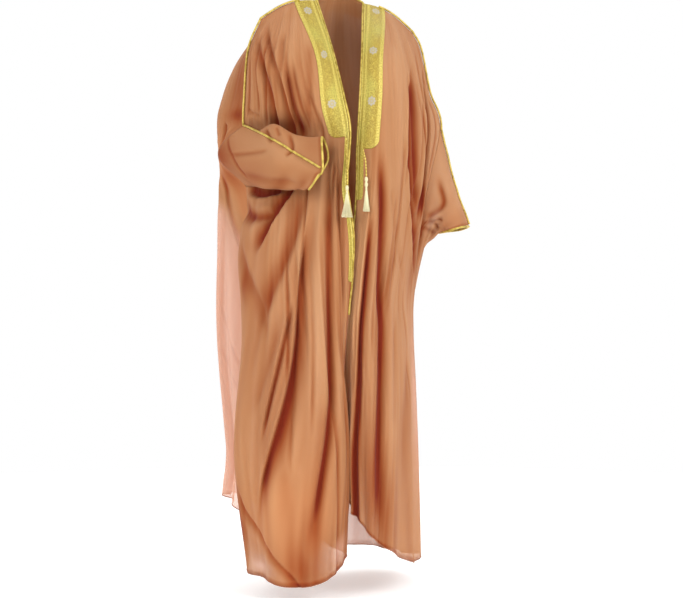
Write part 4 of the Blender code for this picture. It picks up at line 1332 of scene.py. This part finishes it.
@dataclass
class SleeveForm(Form):
    """A sleeve end: its across goes round it from the piping forward, its row runs to the cuff."""

    side: Side = Side.RIGHT
    ripple: float = 0.0011
    seed: int = 40
    plain: float = 0.30

    def start(self, round_: Array) -> Array:
        """The armhole's edge, which the front and back share with the sleeve.

        Args:
            round_: places round it, from 0 to 1.

        Returns:
            The points.
        """
        span = UNDERARM_ROW - ELBOW_ROW
        ahead = side_line(self.side, ELBOW_ROW + span * 2 * np.clip(round_, 0, 0.5), Face.FRONT)
        behind = side_line(self.side, UNDERARM_ROW - span * (2 * np.clip(round_, 0.5, 1) - 1), Face.BACK)
        return np.where((round_ <= 0.5)[:, None], ahead, behind)

    def base(self, across: Array, row: Array) -> Array:
        """The sleeve before its folds.

        Args:
            across: places across it, from 0 to 1.
            row: places down it, by row.

        Returns:
            The points.
        """
        round_ = across % 1.0
        rings = metres(SLEEVE_RINGS[self.side])
        count = rings.shape[1]
        order = [(k - 1) % count for k in range(count + 3)]
        over = spline_weights(count + 3, 1 + round_ * count)
        shaped = np.einsum("nk,rkc->nrc", over, rings[:, order])
        shaped = np.concatenate([self.start(round_)[:, None], shaped], axis=1)
        return np.einsum("nr,nrc->nc", spline_weights(len(rings) + 1, row * len(rings)), shaped)

    def normal(self, across: Array, row: Array) -> Array:
        """The outward direction of the base.

        Args:
            across: places across it, from 0 to 1.
            row: places down it, by row.

        Returns:
            The direction at each place.
        """
        low, high = np.clip(row - NORMAL_STEP, 0, 1), np.clip(row + NORMAL_STEP, 0, 1)
        turn = self.base(across + NORMAL_STEP, row) - self.base(across - NORMAL_STEP, row)
        run = self.base(across, high) - self.base(across, low)
        return unit(np.cross(turn, run)) * self.side.out

    def drape(self, across: Array, row: Array) -> Draped:
        """Hang the cloth over the base, with the creases that a bent arm gathers.

        Args:
            across: places across it, from 0 to 1.
            row: places down it, by row.

        Returns:
            The outer face, the way it looks, and its painted shade.
        """
        spots, normals = self.base(across, row), self.normal(across, row)
        lobes = np.sin(2 * math.pi * (3 * across + 0.5 * row))
        wrap = 0.5 + 0.5 * np.cos(2 * math.pi * across)
        creases = np.sin(2 * math.pi * (3.2 * row + 0.55 * np.sin(2 * math.pi * across)))
        calm = ease(row / 0.18) * ease((1 - row) / 0.12)
        noise = Wander(self.seed, 6, 6).at(across * 0.999, row) * ease(np.minimum(across, 1 - across) / 0.1)
        push = self.ripple * (0.7 * lobes + creases * (1 - 0.6 * wrap) + 0.8 * noise)
        shift, pressed = self.press(spots, normals)
        points = spots + (shift - normals * push[:, None]) * calm[:, None]
        # painted shade from the sheet's patches, below 0 painted light, and from the creases and noise where the
        # cloth is pushed in
        shade = self.plain + blots(self.shades, across, row)
        shade = shade + 0.06 * creases * (1 - wrap) * calm + 0.12 * noise
        return Draped(points, normals, np.clip(shade + pressed, 0, 1))


CREASES: dict[Side, tuple[Fold, ...]] = {
    Side.RIGHT: (small_folds(3, 9, (0.08, 0.50), (3.2, 6.0))
                 + small_folds(4, 9, (0.28, 0.95), (0.2, 1.0), (1.8, 2.8))),
    Side.LEFT: small_folds(8, 15, (0.10, 0.97), (0.3, 5.5)),
}
FRONTS: dict[Side, FrontPanel] = {
    Side.RIGHT: FrontPanel(FRONT_FOLDS[Side.RIGHT] + CREASES[Side.RIGHT], FRONT_SHADES[Side.RIGHT],
                           width=0.52, seed=11, banded=3.3),
    Side.LEFT: FrontPanel(FRONT_FOLDS[Side.LEFT] + CREASES[Side.LEFT], FRONT_SHADES[Side.LEFT],
                          width=0.42, seed=23, facing=-1.0, plain=0.24, banded=3.0, side=Side.LEFT),
}
BACK = BackPanel(BACK_FOLDS + small_folds(13, 18, (0.15, 0.95), (0.5, 5.5)), BACK_SHADES,
                 seams=(0.0, 1.0), width=0.85, waves=9, seed=35)
SLEEVES: dict[Side, SleeveForm] = {
    side: SleeveForm(SLEEVE_FOLDS[side], SLEEVE_SHADES[side], side=side) for side in Side
}


# ---- cloth pieces ------------------------------------------------------------------
@dataclass
class ClothPiece(Piece):
    """A piece of sheer cloth, with its cut in metres and the pieces that it rests on."""

    form: Form
    columns: int
    rows: int
    flat: tuple[float, float]
    rests_on: tuple[str, ...]
    sheers: tuple[Patch, ...] = ()
    area: float | None = None
    wall: ClassVar[float] = CLOTH_THICKNESS

    def drape(self, mesh: Mesh, across: Array, row: Array, edge: Array) -> None:
        """Hang a grid, and write its painted shade and how sheer it is at each point.

        Args:
            mesh: the cloth's grid.
            across: places across it.
            row: places down it.
            edge: how much deeper a turned edge makes it.
        """
        hung = self.form.drape(across, row)
        place(mesh, hung.points)
        measure(mesh, "shade", np.clip(hung.shade + edge, 0, 1))
        measure(mesh, "sheer", signed(blots(self.sheers, across, row)))

    def build(self, finish: Material) -> Object:
        """Make the piece, and log its area.

        Args:
            finish: the cloth's material.

        Returns:
            The piece's object.
        """
        piece = super().build(finish)
        LOG.info("%s: %.3f m2", self.name, sheet_area(piece.data))
        return piece


@dataclass
class PanelCloth(ClothPiece):
    """The sheer cloth of one panel, with a turned hem, and a turned edge on a front."""

    edged: bool = True
    # the panel's length, the hem's width, and the edge's share of that width
    length: float = 1.45
    hem: float = 0.012
    edge_share: float = 0.6
    # how soft the hem's line is, and how much deeper the hem is in colour
    blur: float = 0.002
    hem_shade: float = 0.22

    def shape(self) -> Mesh:
        """Make the panel's outer face, with cells that are even down it.

        Returns:
            Its mesh.
        """
        mesh, across, share = plain_grid(self.name, self.columns, self.rows)
        rows = np.linspace(0, LAST_ROW, 91)
        gone = paces(self.form.base(np.full_like(rows, 0.5), rows))
        edge = ease((self.hem - self.length * (1 - share)) / self.blur)
        if self.edged:
            inset = across * self.form.width
            edge = np.maximum(edge, ease((self.hem * self.edge_share - inset) / self.blur))
        self.drape(mesh, across, np.interp(share * gone[-1], gone, rows), self.hem_shade * edge)
        if self.form.facing > 0:
            mesh.flip_normals()
        return mesh


@dataclass
class SleeveEnd(ClothPiece):
    """The sheer cloth of a sleeve end."""

    # how much deeper the turned cuff is in colour, and the places where its line fades in
    cuff_shade: float = 0.2
    cuff_start: float = 0.95
    cuff_blur: float = 0.02
    # the seam's points are joined where they are nearer than this
    seam_gap: float = 2.0e-5

    def shape(self) -> Mesh:
        """Make the sleeve's outer face, joined along its seam.

        Returns:
            Its mesh.
        """
        mesh, round_, along = plain_grid(self.name, self.columns, self.rows)
        self.drape(mesh, round_, along, self.cuff_shade * ease((along - self.cuff_start) / self.cuff_blur))
        body = bmesh.new()
        body.from_mesh(mesh)
        bmesh.ops.remove_doubles(body, verts=body.verts, dist=self.seam_gap)
        settled(body, mesh)
        if self.form.side is Side.RIGHT:
            mesh.flip_normals()
        return mesh


# ---- zari --------------------------------------------------------------------------
@dataclass(frozen=True)
class Ornament:
    """The couched ornament of the band, by distance from its free edge and along it."""

    # from the free edge: the end of its bright rim, of its dark line and of the inner
    # border, and the start of the outer border
    inner_edge: float = 0.003
    inner_shade: float = 0.0070
    inner_strip: float = 0.017
    outer_strip: float = 0.0465
    # how long the winding stem's repeat is
    repeat: float = 0.029
    rosette_radius: float = 0.0125
    petals: int = 8

    @property
    def middle(self) -> float:
        """The middle of the ornament, from the free edge."""
        return (self.inner_strip + self.outer_strip) / 2

    def rosettes(self, over: Array, along: Array, spots: Sequence[float]) -> tuple[Array, Array]:
        """The silver rosettes.

        Args:
            over: distance from the free edge.
            along: distance down the band.
            spots: how far down each rosette sits.

        Returns:
            Where silver shows, and how the rosette is raised, both from 0 to 1.
        """
        off = along[:, None] - np.array((*spots, -1.0))
        near = off[np.arange(len(off)), np.abs(off).argmin(axis=1)]
        reach = np.hypot(over - self.middle, near * 0.86)
        angle = np.arctan2(near, over - self.middle)
        petals = 0.5 + 0.5 * np.cos(self.petals * angle)
        edge = self.rosette_radius * (0.74 + 0.26 * petals)
        silver = ease((edge - reach) / 0.0012)
        raised = (0.35 + 0.65 * petals) * bell(reach, self.rosette_radius * 0.62, 0.0028)
        raised = np.maximum(raised, bell(reach, 0.0, 0.0026))
        return silver, np.clip(raised, 0, 1)

    def field(self, over: Array, along: Array) -> Array:
        """The flowers and winding stem in the middle of the band, from 0 to 1.

        Args:
            over: distance from the free edge.
            along: distance down the band.

        Returns:
            Their height at each point.
        """
        aside, turn = over - self.middle, along / self.repeat
        stem = 0.8 * bell(aside - 0.0065 * np.sin(2 * math.pi * turn), 0.0, 0.0014)
        near = (turn + 0.25) % 0.5 - 0.25
        lean = np.where((turn + 0.25) % 1.0 < 0.5, -1.0, 1.0) * 0.0045
        reach = np.hypot(aside - lean, near * self.repeat)
        angle = np.arctan2(near * self.repeat, aside - lean)
        flower = (0.45 + 0.55 * np.cos(5 * angle)) * bell(reach, 0.0034, 0.0020)
        flower = flower + bell(reach, 0.0, 0.0013)
        lattice = 0.5 + 0.5 * np.cos(2 * math.pi * aside / 0.0062) * np.cos(2 * math.pi * along / 0.0078)
        return np.clip(np.maximum(0.04 + 0.42 * lattice, 0.85 * np.maximum(stem, flower)), 0, 1)

    def strips(self, over: Array, along: Array) -> Array:
        """The striped borders, from 0 to 1.

        Args:
            over: distance from the free edge.
            along: distance down the band.

        Returns:
            Their height at each point.
        """
        stripes = 0.88 + 0.12 * np.cos(2 * math.pi * over / 0.0026)
        chevron = 0.86 + 0.14 * np.cos(2 * math.pi * (along + np.abs(over % 0.0104 - 0.0052)) / 0.0072)
        border = stripes * chevron
        border = np.where((over > self.inner_edge) & (over < self.inner_shade), 0.28 * chevron, border)
        for line in (self.inner_strip, self.outer_strip, self.inner_shade):
            border = border * (1 - 0.9 * bell(over, line, 0.0012))
        return np.where(over < self.inner_edge, 1.0, border)

    def measure(self, over: Array, along: Array, spots: Sequence[float]) -> tuple[Array, Array]:
        """The relief and the silver of the whole band, from 0 to 1.

        Args:
            over: distance from the free edge.
            along: distance down the band.
            spots: how far down each rosette sits.

        Returns:
            The relief and the silver at each point.
        """
        silver, raised = self.rosettes(over, along, spots)
        inside = (over > self.inner_strip) & (over < self.outer_strip)
        relief = np.where(inside, self.field(over, along), self.strips(over, along))
        return np.where(silver > 0.02, np.maximum(raised, 0.15), relief), silver


@dataclass
class ZariPiece(Piece):
    """A strip of zari laid on a panel."""

    slot: ClassVar[str] = "zari"
    wall: ClassVar[float] = ZARI_THICKNESS

    def couch(self, mesh: Mesh, hung: Draped, flat: tuple[Array, Array], start: float,
              spots: Sequence[float], rim: Array, turned: bool) -> Mesh:
        """Lay a strip on its cloth and raise its ornament.

        Args:
            mesh: the strip's grid.
            hung: the cloth under each of its points.
            flat: the distance of each from the free edge, and down the strip.
            start: how far down the band the strip starts.
            spots: how far down the band each rosette sits.
            rim: how much of its height it has at each point, from 0 to 1.
            turned: whether its faces have to be turned outward.

        Returns:
            The mesh.
        """
        over, along = flat
        relief, silver = Ornament().measure(over, along + start, spots)
        rise = (BAND_HEIGHT + ZARI_RELIEF * (relief - 0.5)) * rim
        place(mesh, hung.points + hung.normals * rise[:, None])
        measure(mesh, "relief", relief)
        measure(mesh, "silver", silver)
        lay_out(mesh, over, along)
        if turned:
            mesh.flip_normals()
        return mesh


@dataclass
class ZariStrip(ZariPiece):
    """A strip of zari laid on the free edge of a panel."""

    panel: Panel
    top: float
    bottom: float
    rosettes: tuple[float, ...] = ()
    width: float = BAND_WIDTH
    corner: float = 0.022
    rim: float = 0.0012
    columns: int = 50
    cell: float = 0.0013
    steps: int = 121

    def reach(self, row: Array) -> tuple[Array, Array]:
        """How far across the panel goes with each distance from its free edge.

        Args:
            row: the rows to pace out.

        Returns:
            The distances, one row for each row of the panel, and the places across.
        """
        across = np.linspace(0.0, 0.45, 46)
        grid_row, grid_across = np.repeat(row, len(across)), np.tile(across, len(row))
        points = self.panel.base(grid_across, grid_row).reshape(len(row), len(across), 3)
        return np.array([paces(line) for line in points]), across

    def end_cut(self, over: Array) -> Array:
        """How much shorter the strip is near its rounded lower corner."""
        away = np.clip(self.corner - (self.width - over), 0.0, self.corner * 0.999)
        return self.corner - np.sqrt(self.corner ** 2 - away ** 2)

    def edge(self, rows: Array) -> Array:
        """How far along the panel's free edge each row lies."""
        return paces(self.panel.base(np.zeros_like(rows), rows))

    def shape(self) -> Mesh:
        """Make the strip's outer face.

        Returns:
            Its mesh.
        """
        rows = np.linspace(self.top, self.bottom, self.steps)
        gone = self.edge(rows)
        mesh, u, v = plain_grid(self.name, self.columns, max(4, round(gone[-1] / self.cell)))
        over = u * self.width
        along = v * (gone[-1] - self.end_cut(over))
        row = np.interp(along, gone, rows)
        distances, across = self.reach(rows)
        at = np.interp(row, rows, np.arange(self.steps))
        low = np.clip(at.astype(int), 0, self.steps - 2)
        before, after = (np.array([np.interp(d, distances[k + step], across) for d, k in zip(over, low)])
                         for step in (0, 1))
        hung = self.panel.drape(before + (after - before) * (at - low), row)
        rim = 0.55 + 0.45 * ease(np.minimum(u, 1 - u) * self.width / self.rim)
        start = float(self.edge(np.linspace(0.0, max(self.top, SAME_POINT), 60))[-1])
        return self.couch(mesh, hung, (over, along), start, self.rosettes, rim, self.panel.facing > 0)


@dataclass
class NeckBand(ZariPiece):
    """The zari round the back of the neck."""

    span: tuple[float, float] = (8 / 36, 28 / 36)
    bottom: float = 1 / 3
    columns: int = 260
    rows: int = 44

    def shape(self) -> Mesh:
        """Make the band's outer face.

        Returns:
            Its mesh.
        """
        mesh, u, v = plain_grid(self.name, self.columns, self.rows)
        hung = BACK.drape(self.span[0] + (self.span[1] - self.span[0]) * u, v * self.bottom)
        length = paces(neck_line(np.linspace(*self.span, 200)))[-1]
        return self.couch(mesh, hung, (v * BAND_WIDTH, u * length), 0.0, (0.5 * length,), np.ones_like(u),
                          True)


# ---- cords -------------------------------------------------------------------------
@dataclass
class GoldPiping(Piece):
    """A gold cord of twisted plies, sewn along an edge or a seam."""

    route: Array
    closed: bool = False
    radius: float = PIPING_RADIUS
    pitch: float = 0.0075
    plies: int = 2
    around: int = 12
    step: float = 0.0011
    slot: ClassVar[str] = "piping"

    def turn(self, along: Array, round_: Array) -> Array:
        """How far each place stands out on its ply, from 0 between two plies to 1."""
        return np.abs(np.cos(math.pi * self.plies * (round_ + along / self.pitch)))

    def shape(self) -> Mesh:
        """Make the cord's surface.

        Returns:
            Its mesh.
        """
        line = evenly(self.route, self.step)
        if self.closed:
            line = line[:-1] if np.linalg.norm(line[0] - line[-1]) < self.step else line
        mesh, along, round_ = tube_mesh(
            self.name, line, lambda along, round_: self.radius * (0.86 + 0.16 * self.turn(along, round_)),
            self.around, self.closed)
        # painted shade between the plies
        measure(mesh, "groove", 1 - self.turn(along, round_))
        return mesh


@dataclass(frozen=True)
class PipingRoutes:
    """The lines of the piping on one side of the cloak, just clear of the cloth."""

    side: Side
    neck_steps: int = 60
    edge_steps: int = 320
    below_neck: float = 0.12
    inside_edge: float = 0.04
    shoulder_steps: int = 40
    shoulder_start: float = 0.30
    arm_steps: int = 90
    sleeve_steps: int = 70
    sleeve_end: float = 0.985
    cuff_steps: int = 240
    inside_cuff: float = 0.94

    def edge(self) -> Array:
        """The cloak's free edge, from the nape to where its piping ends.

        Returns:
            The points.
        """
        front = FRONTS[self.side]
        over = np.linspace(0.5, NECK_SPAN[0 if self.side is Side.RIGHT else 1], self.neck_steps, endpoint=False)
        top, below = (BACK.drape(over, np.full_like(over, row)).points for row in (0, self.below_neck))
        rows = np.linspace(0, EDGING_END[self.side], self.edge_steps)
        edge, inner = (front.drape(np.full_like(rows, across), rows).points for across in (0, self.inside_edge))
        ways = smoothed(np.concatenate([unit(top - below), unit(edge - inner)]), 12)
        route = np.concatenate([top, edge]) + ways * (PIPING_RADIUS + CLEARANCE)
        route[0, 0] += self.side.out * CLEARANCE
        return route

    def arm(self) -> Array:
        """The shoulder seam, the line down the arm and the sleeve's top.

        Returns:
            The points.
        """
        front = FRONTS[self.side]
        over = np.linspace(self.shoulder_start, 1.0, self.shoulder_steps, endpoint=False)
        rows = np.linspace(0, ELBOW_ROW, self.arm_steps, endpoint=False)
        along = np.linspace(0, self.sleeve_end, self.sleeve_steps)
        sleeve = SLEEVES[self.side].drape(np.zeros_like(along), along)
        down = side_line(self.side, rows, Face.FRONT)
        line = np.concatenate([shoulder_line(self.side, over), down, sleeve.points])
        ways = np.concatenate([
            unit(front.normal(over, np.zeros_like(over)) + np.array((0, 0, 1.0))),
            unit(front.normal(np.ones_like(rows), rows) + BACK.normal(
                np.full_like(rows, 0.0 if self.side is Side.RIGHT else 1.0), rows)),
            sleeve.normals,
        ])
        return line + smoothed(ways, 30) * (PIPING_RADIUS + CLEARANCE)

    def cuff(self) -> Array:
        """The rim of the cuff.

        Returns:
            The points.
        """
        round_ = np.linspace(0, 1, self.cuff_steps, endpoint=False)
        rim, inner = (SLEEVES[self.side].base(round_, np.full_like(round_, row)) for row in (1, self.inside_cuff))
        facing = unit(np.cross(rim, np.roll(rim, -1, axis=0)).sum(axis=0))
        if np.dot(facing, (rim - inner).mean(axis=0)) < 0:
            facing = -facing
        return rim + facing * CUFF_CLEARANCE


@dataclass
class RolledHem(Piece):
    """The cloth's rolled edge, where it has no piping."""

    route: Array
    radius: float = 0.0012
    step: float = 0.004

    def shape(self) -> Mesh:
        """Make the hem's surface."""
        return rod_mesh(self.name, evenly(self.route, self.step), self.radius, 6)


@dataclass
class TasselCord(Piece):
    """The free cord from a band's end to its tassel."""

    knots: tuple[Triple, ...]
    pitch: float = 0.009
    knot_every: float = 0.0080
    step: float = 0.0008
    diameter: float = CORD_DIAMETER
    slot: ClassVar[str] = "tassel"

    def line(self) -> Array:
        """The cord's middle line."""
        knots = metres(self.knots)
        return evenly(smooth_line(knots, np.linspace(0, len(knots) - 1, 200)), self.step)

    def bead(self, along: Array) -> Array:
        """How far each place stands out, from 0 between two knots to 1 on one."""
        return np.abs(np.sin(math.pi * along / self.knot_every))

    def shape(self) -> Mesh:
        """Make the cord's surface.

        Returns:
            Its mesh.
        """
        def ply(along: Array, round_: Array) -> Array:
            """The radius over two plies, knotted at every turn."""
            turn = np.abs(np.cos(math.pi * 2 * (round_ + along / self.pitch)))
            return self.diameter / 2 * (0.46 + 0.44 * self.bead(along) + 0.10 * turn)

        mesh, along, _ = tube_mesh(self.name, self.line(), ply, 14)
        # painted shade between the knots
        measure(mesh, "groove", 1 - self.bead(along))
        return mesh

    def declare(self, piece: Object, tassel: Object) -> None:
        """Find the cord's middle line; nothing else is done with it.

        Args:
            piece: the cord's object; not used.
            tassel: its tassel's object; not used.
        """
        line = self.line()


@dataclass
class Tassel(Piece):
    """A tassel: wound knots, a bound neck and a skirt of free threads."""

    top: Triple
    wound: int
    length: float
    spread: float
    threads: int = 150
    seed: int = 5
    knot_radius: float = 0.0042
    knot_height: float = 0.013
    neck: float = 0.009
    # how far apart the threads wound on the head lie, and how far it hangs off its cord
    winding: float = 0.0007
    gap: float = 0.0003
    slot: ClassVar[str] = "tassel"

    def profile(self) -> list[tuple[float, float]]:
        """The outline of the knots and the neck, as radius and height from the top down.

        Returns:
            The outline.
        """
        outline, height = [(0.0, 0.0), (0.0017, -0.0002)], 0.0
        for _ in range(self.wound):
            for share in np.linspace(0.08, 0.92, 9):
                bulge = self.knot_radius * (0.35 + 0.65 * math.sin(math.pi * share) ** 0.6)
                outline.append((bulge, height - share * self.knot_height))
            height -= self.knot_height
        for share, radius in ((0.1, 0.0022), (0.3, 0.0027), (0.6, 0.0026), (0.9, 0.0030), (1.0, 0.0024)):
            outline.append((radius, height - share * self.neck))
        return outline + [(0.0, height - self.neck)]

    def head(self) -> Mesh:
        """The knots and the neck, turned from their outline.

        Returns:
            Their mesh.
        """
        body = bmesh.new()
        verts = [body.verts.new((radius, 0.0, height)) for radius, height in self.profile()]
        edges = [body.edges.new(pair) for pair in zip(verts, verts[1:])]
        bmesh.ops.spin(body, geom=verts + edges, cent=(0, 0, 0), axis=(0, 0, 1), angle=2 * math.pi,
                       steps=24, use_merge=True)
        bmesh.ops.remove_doubles(body, verts=body.verts, dist=SAME_POINT)
        bmesh.ops.recalc_face_normals(body, faces=body.faces)
        mesh = settled(body, self.name + "_head")
        x, y, z = points_of(mesh).T
        # painted shade between the wound threads
        measure(mesh, "groove", 0.5 - 0.5 * np.cos(4 * np.arctan2(y, x) + z / self.winding))
        return mesh

    def thread(self, number: int, draw: np.random.Generator) -> Mesh:
        """One thread of the skirt, from the neck to its cut end.

        Args:
            number: the thread's number, from 0.
            draw: what its chance sizes are drawn from.

        Returns:
            Its mesh.
        """
        golden = math.pi * (3 - math.sqrt(5))
        share = math.sqrt((number + 0.5) / self.threads)
        angle = golden * number
        start, foot = 0.0022 * share, self.spread * share * draw.uniform(0.93, 1.04)
        top = -self.wound * self.knot_height - self.neck * 0.55
        fall = np.linspace(0, 1, 8)
        bottom = -self.length + draw.uniform(0.0, 0.0035)
        reach = start + (foot - start) * fall ** 1.15
        turn = angle + draw.uniform(-0.25, 0.25) * fall
        drop = top + (bottom - top) * fall
        line = np.stack([reach * np.cos(turn), 0.8 * reach * np.sin(turn), drop], axis=1)
        mesh = rod_mesh(self.name + "_thread", line, draw.uniform(0.00036, 0.0005), 5)
        measure(mesh, "groove", np.full(len(mesh.vertices), draw.uniform(0.0, 0.55)))
        return mesh

    def shape(self) -> Mesh:
        """Make the head and the skirt as one mesh.

        Returns:
            Its mesh.
        """
        draw = np.random.default_rng(self.seed)
        body = bmesh.new()
        body.from_mesh(self.head())
        for number in range(self.threads):
            body.from_mesh(self.thread(number, draw))
        bmesh.ops.translate(body, verts=body.verts, vec=Vector(self.top) * MM - Vector((0, 0, self.gap)))
        return settled(body, self.name)


# ---- the studio --------------------------------------------------------------------
@dataclass
class Studio:
    """The camera, a plain pale floor and soft light."""

    turn: float = -18.0
    height: float = -0.769
    distance: float = 4.5
    lens: float = 91.6
    floor: float = -1.512
    floor_radius: float = 3.2
    middle: float = -0.7
    # how bright the light all round is in front of the cloak
    front_light: float = 0.66

    def camera(self) -> None:
        """Stand the camera."""
        data = bpy.data.cameras.new("view")
        data.lens, data.sensor_width = self.lens, 36.0
        data.clip_end = 200.0
        camera = bpy.data.objects.new("view", data)
        angle = math.radians(self.turn)
        camera.location = (self.distance * math.sin(angle), -self.distance * math.cos(angle), self.height)
        camera.rotation_euler = (math.pi / 2, 0.0, angle)
        bpy.context.scene.collection.objects.link(camera)
        bpy.context.scene.camera = camera

    def ground(self) -> None:
        """Lay the floor."""
        body = bmesh.new()
        bmesh.ops.create_circle(body, cap_ends=True, segments=96, radius=self.floor_radius,
                                matrix=Matrix.Translation((0, 0, self.floor)))
        mesh = settled(body, "floor")
        mesh.materials.append(PaperFinish().build())
        floor = bpy.data.objects.new("floor", mesh)
        bpy.context.scene.collection.objects.link(floor)

    def lamp(self, name: str, spot: Triple, power: float, size: float) -> None:
        """Hang a soft square lamp that looks at the middle of the cloak.

        Args:
            name: the lamp's name.
            spot: where it hangs.
            power: its power in watts.
            size: its side in metres.
        """
        data = bpy.data.lights.new(name, "AREA")
        data.energy, data.size = power, size
        lamp = bpy.data.objects.new(name, data)
        lamp.location = spot
        look = Vector((0, 0, self.middle)) - Vector(spot)
        lamp.rotation_euler = look.to_track_quat("-Z", "Y").to_euler()
        bpy.context.scene.collection.objects.link(lamp)

    def build(self) -> None:
        """Set everything up."""
        self.camera()
        self.ground()
        self.lamp("key", (2.2, -4.2, 1.8), 165.0, 2.8)
        self.lamp("fill", (-3.6, -2.6, 0.8), 80.0, 2.6)
        self.lamp("rim", (1.5, 3.6, 2.4), 40.0, 2.4)
        scene = bpy.context.scene
        scene.view_settings.view_transform = "Standard"
        scene.cycles.transparent_max_bounces = 32
        scene.world = self.backdrop()

    def backdrop(self) -> bpy.types.World:
        """White light all round, dimmer in front of the cloak than behind it.

        Returns:
            The world.
        """
        world = bpy.data.worlds.new("studio")
        world.use_nodes = True
        tree = world.node_tree
        background = tree.nodes["Background"]
        place, parts, share = (tree.nodes.new("ShaderNode" + kind)
                               for kind in ("TexCoord", "SeparateXYZ", "MapRange"))
        share.inputs["From Min"].default_value, share.inputs["From Max"].default_value = -0.45, 0.15
        share.inputs["To Min"].default_value, share.inputs["To Max"].default_value = self.front_light, 1.0
        tree.links.new(place.outputs["Generated"], parts.inputs[0])
        tree.links.new(parts.outputs["Y"], share.inputs["Value"])
        tree.links.new(share.outputs[0], background.inputs["Strength"])
        background.inputs["Color"].default_value = (1.0, 1.0, 1.0, 1.0)
        return world


# ---- the whole cloak ----------------------------------------------------------------
CORD_KNOTS: dict[Side, tuple[Triple, ...]] = {
    Side.RIGHT: ((-58, -217, -373), (-60, -224, -386), (-61, -229, -408), (-61, -231, -436),
                 (-61, -232, -464), (-61, -232, -490)),
    Side.LEFT: ((-13, -212, -400), (-13, -220, -411), (-12, -228, -428), (-12, -232, -448),
                (-12, -234, -468)),
}


def build_cords(gold: Material) -> None:
    """Make the tassels and the free gold cords that they hang on.

    Args:
        gold: the material of the cords.
    """
    silk = SilkFinish().build()
    for side, wound, length, spread, seed in ((Side.RIGHT, 1, 0.079, 0.0145, 5),
                                              (Side.LEFT, 2, 0.086, 0.0088, 6)):
        word, knots = side.value, CORD_KNOTS[side]
        cord = TasselCord("cord_" + word, "tassel_cord_" + word, knots)
        tassel = Tassel("silk_tassel_" + word, "tassel_" + word, knots[-1], wound, length, spread, seed=seed)
        cord.declare(cord.build(gold), tassel.build(silk))


def build_cloth() -> None:
    """Make the panels, the sleeve ends and the rolled hems."""
    chiffon, hem = ChiffonFinish().build(), HemFinish().build()
    for side, columns, flat, area in ((Side.RIGHT, 205, (0.58, 1.46), 0.66),
                                      (Side.LEFT, 190, (0.50, 1.46), 0.52)):
        PanelCloth("chiffon_front_" + side.value, "front_" + side.value, FRONTS[side], columns, 230, flat,
                   ("zari_neck", "chiffon_back"), FRONT_SHEERS[side], area).build(chiffon)
    PanelCloth("chiffon_back", "back", BACK, 240, 200, (0.98, 1.46), ("zari_neck",), BACK_SHEERS, 1.20,
               edged=False).build(chiffon)
    for side, flat in ((Side.RIGHT, (0.30, 0.33)), (Side.LEFT, (0.30, 0.23))):
        SleeveEnd("chiffon_sleeve_" + side.value, "sleeve_" + side.value, SLEEVES[side], 120, 90, flat,
                  ("chiffon_front_" + side.value, "chiffon_back"), SLEEVE_SHEERS[side]).build(chiffon)
    across = np.linspace(0, 1, 400)
    foot = np.full_like(across, LAST_ROW)
    for side in Side:
        rows = np.linspace(EDGING_END[side], LAST_ROW, 200)
        for word, line in (("front", (across, foot)), ("edge", (np.zeros_like(rows), rows))):
            RolledHem(f"hem_{word}_{side.value}", None, FRONTS[side].drape(*line).points).build(hem)
    RolledHem("hem_back", None, BACK.drape(across, foot).points).build(hem)


def build_trims(gold: Material) -> None:
    """Make the zari and the gold piping.

    Args:
        gold: the material of the piping.
    """
    zari = ZariFinish().build()
    right, left = FRONTS[Side.RIGHT], FRONTS[Side.LEFT]
    for strip in (ZariStrip("zari_right", "band_right", right, 0.0, 3.25, (0.036, 0.185, 0.335)),
                  ZariStrip("zari_tail_right", None, right, 3.23, 6.4, width=0.012, corner=0.009),
                  ZariStrip("zari_left", "band_left", left, 0.0, 3.02, (0.025, 0.205, 0.345)),
                  ZariStrip("zari_tail_left", "tail_left", left, 3.0, 4.0, width=0.0185, corner=0.011),
                  NeckBand("zari_neck", "band_neck")):
        strip.build(zari)
    for side in Side:
        routes, word = PipingRoutes(side), side.value
        GoldPiping("gold_edging_" + word, "edging_" + word, routes.edge()).build(gold)
        GoldPiping("gold_arm_" + word, "arm_piping_" + word, routes.arm()).build(gold)
        GoldPiping("gold_cuff_" + word, "cuff_piping_" + word, routes.cuff(), closed=True).build(gold)


def main() -> None:
    """Build the studio and the cloak, piece by piece."""
    logging.basicConfig(level=logging.INFO, format="%(message)s")
    Studio().build()
    gold = CordFinish().build()
    build_cords(gold)
    build_cloth()
    build_trims(gold)


if __name__ == "__main__":
    main()
